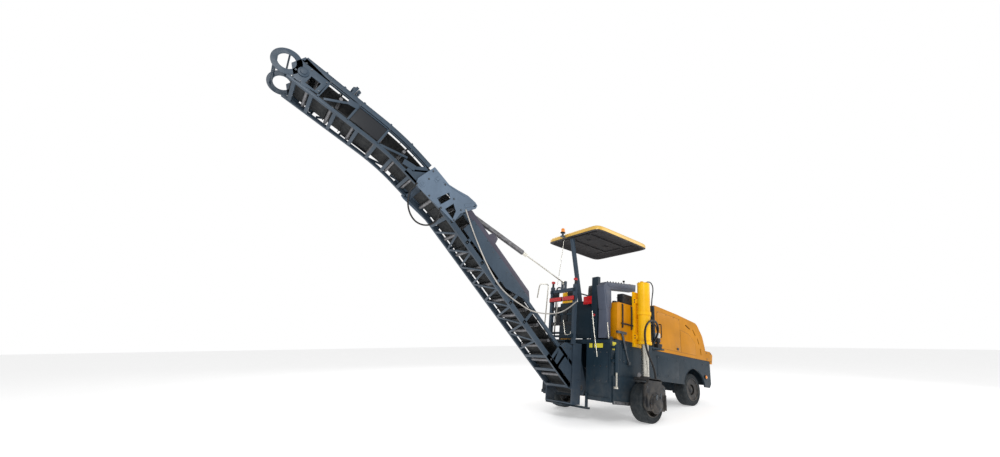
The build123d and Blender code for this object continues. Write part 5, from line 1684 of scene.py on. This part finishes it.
class PLANER_OT_services(bpy.types.Operator):
    """Filters, lamps, mast fittings, hydraulic lines, strut, side-plate lifters and steering wheel"""
    bl_idname = "planer.services"
    bl_label = "Services"

    def execute(self, context):
        pack = Piece(BODY)
        at = shift((0.7, -0.74, 0))
        pack.block((0.64, -0.78, deck), (0.76, -0.70, 1.3), 0.008)
        pack.turned([(0, 1.3), (0.03, 1.3), (0.03, 1.325), (0.044, 1.33), (0.044, 1.395), (0.03, 1.4),
                     (0, 1.4)], at, 48)
        pack.paint = 1
        pack.turned([(0, 1.4), (0.03, 1.4), (0.0448, 1.405), (0.0448, 1.485), (0.036, 1.497), (0, 1.4998)],
                    at, 48)
        pack.paint = 2
        pack.turned([(0, 0), (0.02, 0), (0.02, 0.02), (0.012, 0.024), (0, 0.024)],
                    shift((0.744, -0.74, 1.37)) @ spin(pi / 2, "Y"), 24)
        made = pack.done("filters_dressed", "chassis", "filter", "black", "white", "red")
        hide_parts("filters")
        mast = Piece(BODY)
        for y in (-0.15, 0.45):
            mast.turned([(0, 0), (0.026, 0), (0.026, 0.012), (0, 0.014)], shift((-0.88, y, 2.15)), 32)
            mast.block((-0.935, y - 0.024, 1.2), (-0.911, y + 0.024, 1.26), 0.004)
            mast.block((-0.918, y - 0.034, 2.02), (-0.909, y + 0.034, 2.08), 0.003)
        for z in (1.27, 1.6):
            mast.block((-0.9, -0.12, z), (-0.86, 0.42, z + 0.035), 0.005)
        mast.block((-0.938, -0.14, 1.2), (-0.925, 0.44, 1.24), 0.004)
        mast.done("mast_fittings", "slew", "slate", "slate")
        bank = Piece(BODY)
        for low, high in ((-0.11, 0.02), (0.28, 0.41)):
            bank.block((-0.9, low, 1.945), (-0.86, high, 2.03), 0.006)
            for k in range(4):
                y = low + 0.02 + 0.03 * k
                bank.turned([(0, 0), (0.011, 0), (0.011, 0.02), (0, 0.022)], shift((-0.9, y, 1.985))
                            @ spin(-pi / 2, "Y"), 16)
        for z in (1.42, 1.7):
            bank.block((-0.905, -0.12, z), (-0.865, 0.42, z + 0.06), 0.006)
        bank.block((-0.9, 0.02, 1.48), (-0.868, 0.12, 1.7), 0.005)
        bank.block((-0.9, 0.2, 1.48), (-0.868, 0.3, 1.7), 0.005)
        bank.done("mast_valves", "slew", "dark", "dark")
        lines = Piece(BODY)
        lines.pipe([(-0.925, 0.077, 1.505), (-0.925, 0.01, 1.239), (-0.925, -0.12, 1.25),
                    (-0.925, -0.12, 1.3)], 0.009, 0.04)
        lines.pipe([(-0.92, 0.25, 1.84), (-0.94, 0.26, 1.6), (-0.93, 0.3, 1.3)], 0.008, 0.06)
        lines.done("mast_lines", "slew", "rod", "rod")
        tubes = Piece(BODY)
        tubes.pipe([(-0.7, -0.404, 1.677), (-0.706, -0.47, 1.3), (-0.712, -0.549, 0.914)], 0.011, 0.06)
        tubes.pipe([(-0.7, -0.746, 1.47), (-0.7, -0.779, 1.21)], 0.009)
        tubes.pipe([(-0.66, 0.9, 1.22), (-0.66, 0.845, 2.315), (-0.66, 1.129, 2.362),
                    (-0.66, 1.18, 2.061)], 0.012, 0.08)
        tubes.done("rear_lines", "chassis", "rod", "rod")
        strut = Piece(BODY)
        strut.block((-0.55, -0.844, 1.32), (-0.32, -0.8005, 1.36), 0.006)
        strut.rod((-0.42, -0.824, 1.33), (-0.33, -0.824, 1.07), 0.019)
        strut.rod((-0.335, -0.824, 1.085), (-0.245, -0.824, 0.86), 0.01)
        strut.block((-0.27, -0.84, 0.84), (-0.22, -0.8005, 0.89), 0.006)
        strut.done("side_strut", "chassis", "steel", "zinc")
        for name, hand in (("right", -1), ("left", 1)):
            y = hand * 0.872
            barrel = Piece(BODY)
            barrel.turned([(0.0155, 0.69), (0.028, 0.69), (0.028, 1.12), (0.0155, 1.12), (0.0155, 0.69)],
                          shift((-0.62, y, 0)), 40)
            for z in (0.85, 1.06):
                ends = between(hand, 0.8, 0.852)
                barrel.block((-0.655, ends[0], z), (-0.585, ends[1], z + 0.04), 0.005)
            barrel.done(f"lifter_barrel_{name}", "chassis", "dark", "slate")
            rod = Piece(BODY)
            rod.rod((-0.62, y, 0.47), (-0.62, y, 0.86), 0.0145, 32)
            lug = between(hand, 0.8225, 0.894)
            rod.block((-0.64, lug[0], 0.45), (-0.6, lug[1], 0.485), 0.006)
            rod.done(f"lifter_rod_{name}", f"plate_{name}", "rod", "rod")
        wheel = Piece(BODY)
        hub = shift((0.56, -0.22, 1.99))
        wheel.block((0.53, -0.29, deck), (0.63, -0.15, 1.3), 0.01)
        wheel.block((0.545, -0.265, 1.29), (0.615, -0.175, 1.952), 0.02)
        wheel.turned([(0, -0.04), (0.018, -0.04), (0.018, 0.004), (0.04, 0.008), (0.04, 0.02),
                      (0.03, 0.03), (0, 0.032)], hub, 32)
        ringed = [(0.17 + 0.014 * cos(2 * pi * k / 12), 0.014 * sin(2 * pi * k / 12)) for k in range(12)]
        wheel.turned(ringed + ringed[:1], hub, 48)
        for k in range(3):
            t = 2 * pi * k / 3
            wheel.rod((0.56 + 0.03 * cos(t), -0.22 + 0.03 * sin(t), 2.0), (0.56 + 0.165 * cos(t),
                    -0.22 + 0.165 * sin(t), 1.99), 0.008, 12)
        made = wheel.done("steering_stand_dressed", "chassis", "dark", "dark")
        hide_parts("steering_stand")
        light = Piece(BODY)
        at = shift((-0.9, 0.24, 3.26))
        light.turned([(0, 0), (0.05, 0), (0.05, 0.012), (0.044, 0.016), (0, 0.016)], at
                     @ shift((0, 0, -0.016)), 40)
        light.paint = 1
        light.turned([(0, 0), (0.041, 0), (0.04, 0.05), (0.032, 0.074), (0.015, 0.085), (0, 0.0875)], at,
                     40)
        made = light.done("beacon_dressed", "chassis", "amber_lamp", "black", "amber")
        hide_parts("beacon")
        stops = Piece(BODY)
        for y in (-0.15, 0.45):
            at = shift((-0.88, y, 2.15))
            stops.paint = 1
            stops.turned([(0, 0), (0.02, 0), (0.02, 0.08), (0, 0.08)], at, 24)
            stops.paint = 0
            stops.turned([(0, 0.075), (0.03, 0.078), (0.037, 0.09), (0.037, 0.11), (0.028, 0.119),
                          (0, 0.12)], at, 32)
        for y0, y1 in ((-0.18, 0.12), (0.14, 0.48)):
            stops.paint = 1
            stops.block((-0.93, y0, 1.852), (-0.912, y1, 1.938), 0.004)
            stops.paint = 0
            stops.block((-0.939, y0 + 0.008, 1.86), (-0.928, y1 - 0.008, 1.93), 0.003)
        made = stops.done("mast_lamps_dressed", "slew", "red_lamp", "red", "black")
        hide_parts("mast_lamps")
        return {"FINISHED"}


operators = [
    PLANER_OT_camera, PLANER_OT_cords, PLANER_OT_stage, PLANER_OT_finishes, PLANER_OT_tyres, PLANER_OT_hubs,
    PLANER_OT_hood, PLANER_OT_nose, PLANER_OT_frame, PLANER_OT_housing, PLANER_OT_side_plates,
    PLANER_OT_columns, PLANER_OT_legs,
    PLANER_OT_lower_frame, PLANER_OT_cover, PLANER_OT_gussets, PLANER_OT_upper_frame, PLANER_OT_seat,
    PLANER_OT_station, PLANER_OT_services,
]


class PLANER_PT_panel(bpy.types.Panel):
    """Lists the planer's pieces"""
    bl_idname = "PLANER_PT_panel"
    bl_label = "Cold planer"
    bl_space_type = "VIEW_3D"
    bl_region_type = "UI"
    bl_category = "Planer"

    def draw(self, context):
        for operator in operators:
            self.layout.operator(operator.bl_idname)
        for group in (context.scene.planer_paint, context.scene.planer_sizes):
            for name in group.__annotations__:
                self.layout.prop(group, name)


groups = [PlanerPaint, PlanerSizes]


def register():
    for kind in groups + operators + [PLANER_PT_panel]:
        bpy.utils.register_class(kind)
    bpy.types.Scene.planer_paint = bpy.props.PointerProperty(type=PlanerPaint)
    bpy.types.Scene.planer_sizes = bpy.props.PointerProperty(type=PlanerSizes)


def unregister():
    del bpy.types.Scene.planer_paint
    del bpy.types.Scene.planer_sizes
    for kind in reversed(groups + operators + [PLANER_PT_panel]):
        bpy.utils.unregister_class(kind)


def main():
    register()
    for operator in operators:
        group, name = operator.bl_idname.split(".")
        getattr(getattr(bpy.ops, group), name)()


if __name__ == "__main__":
    main()
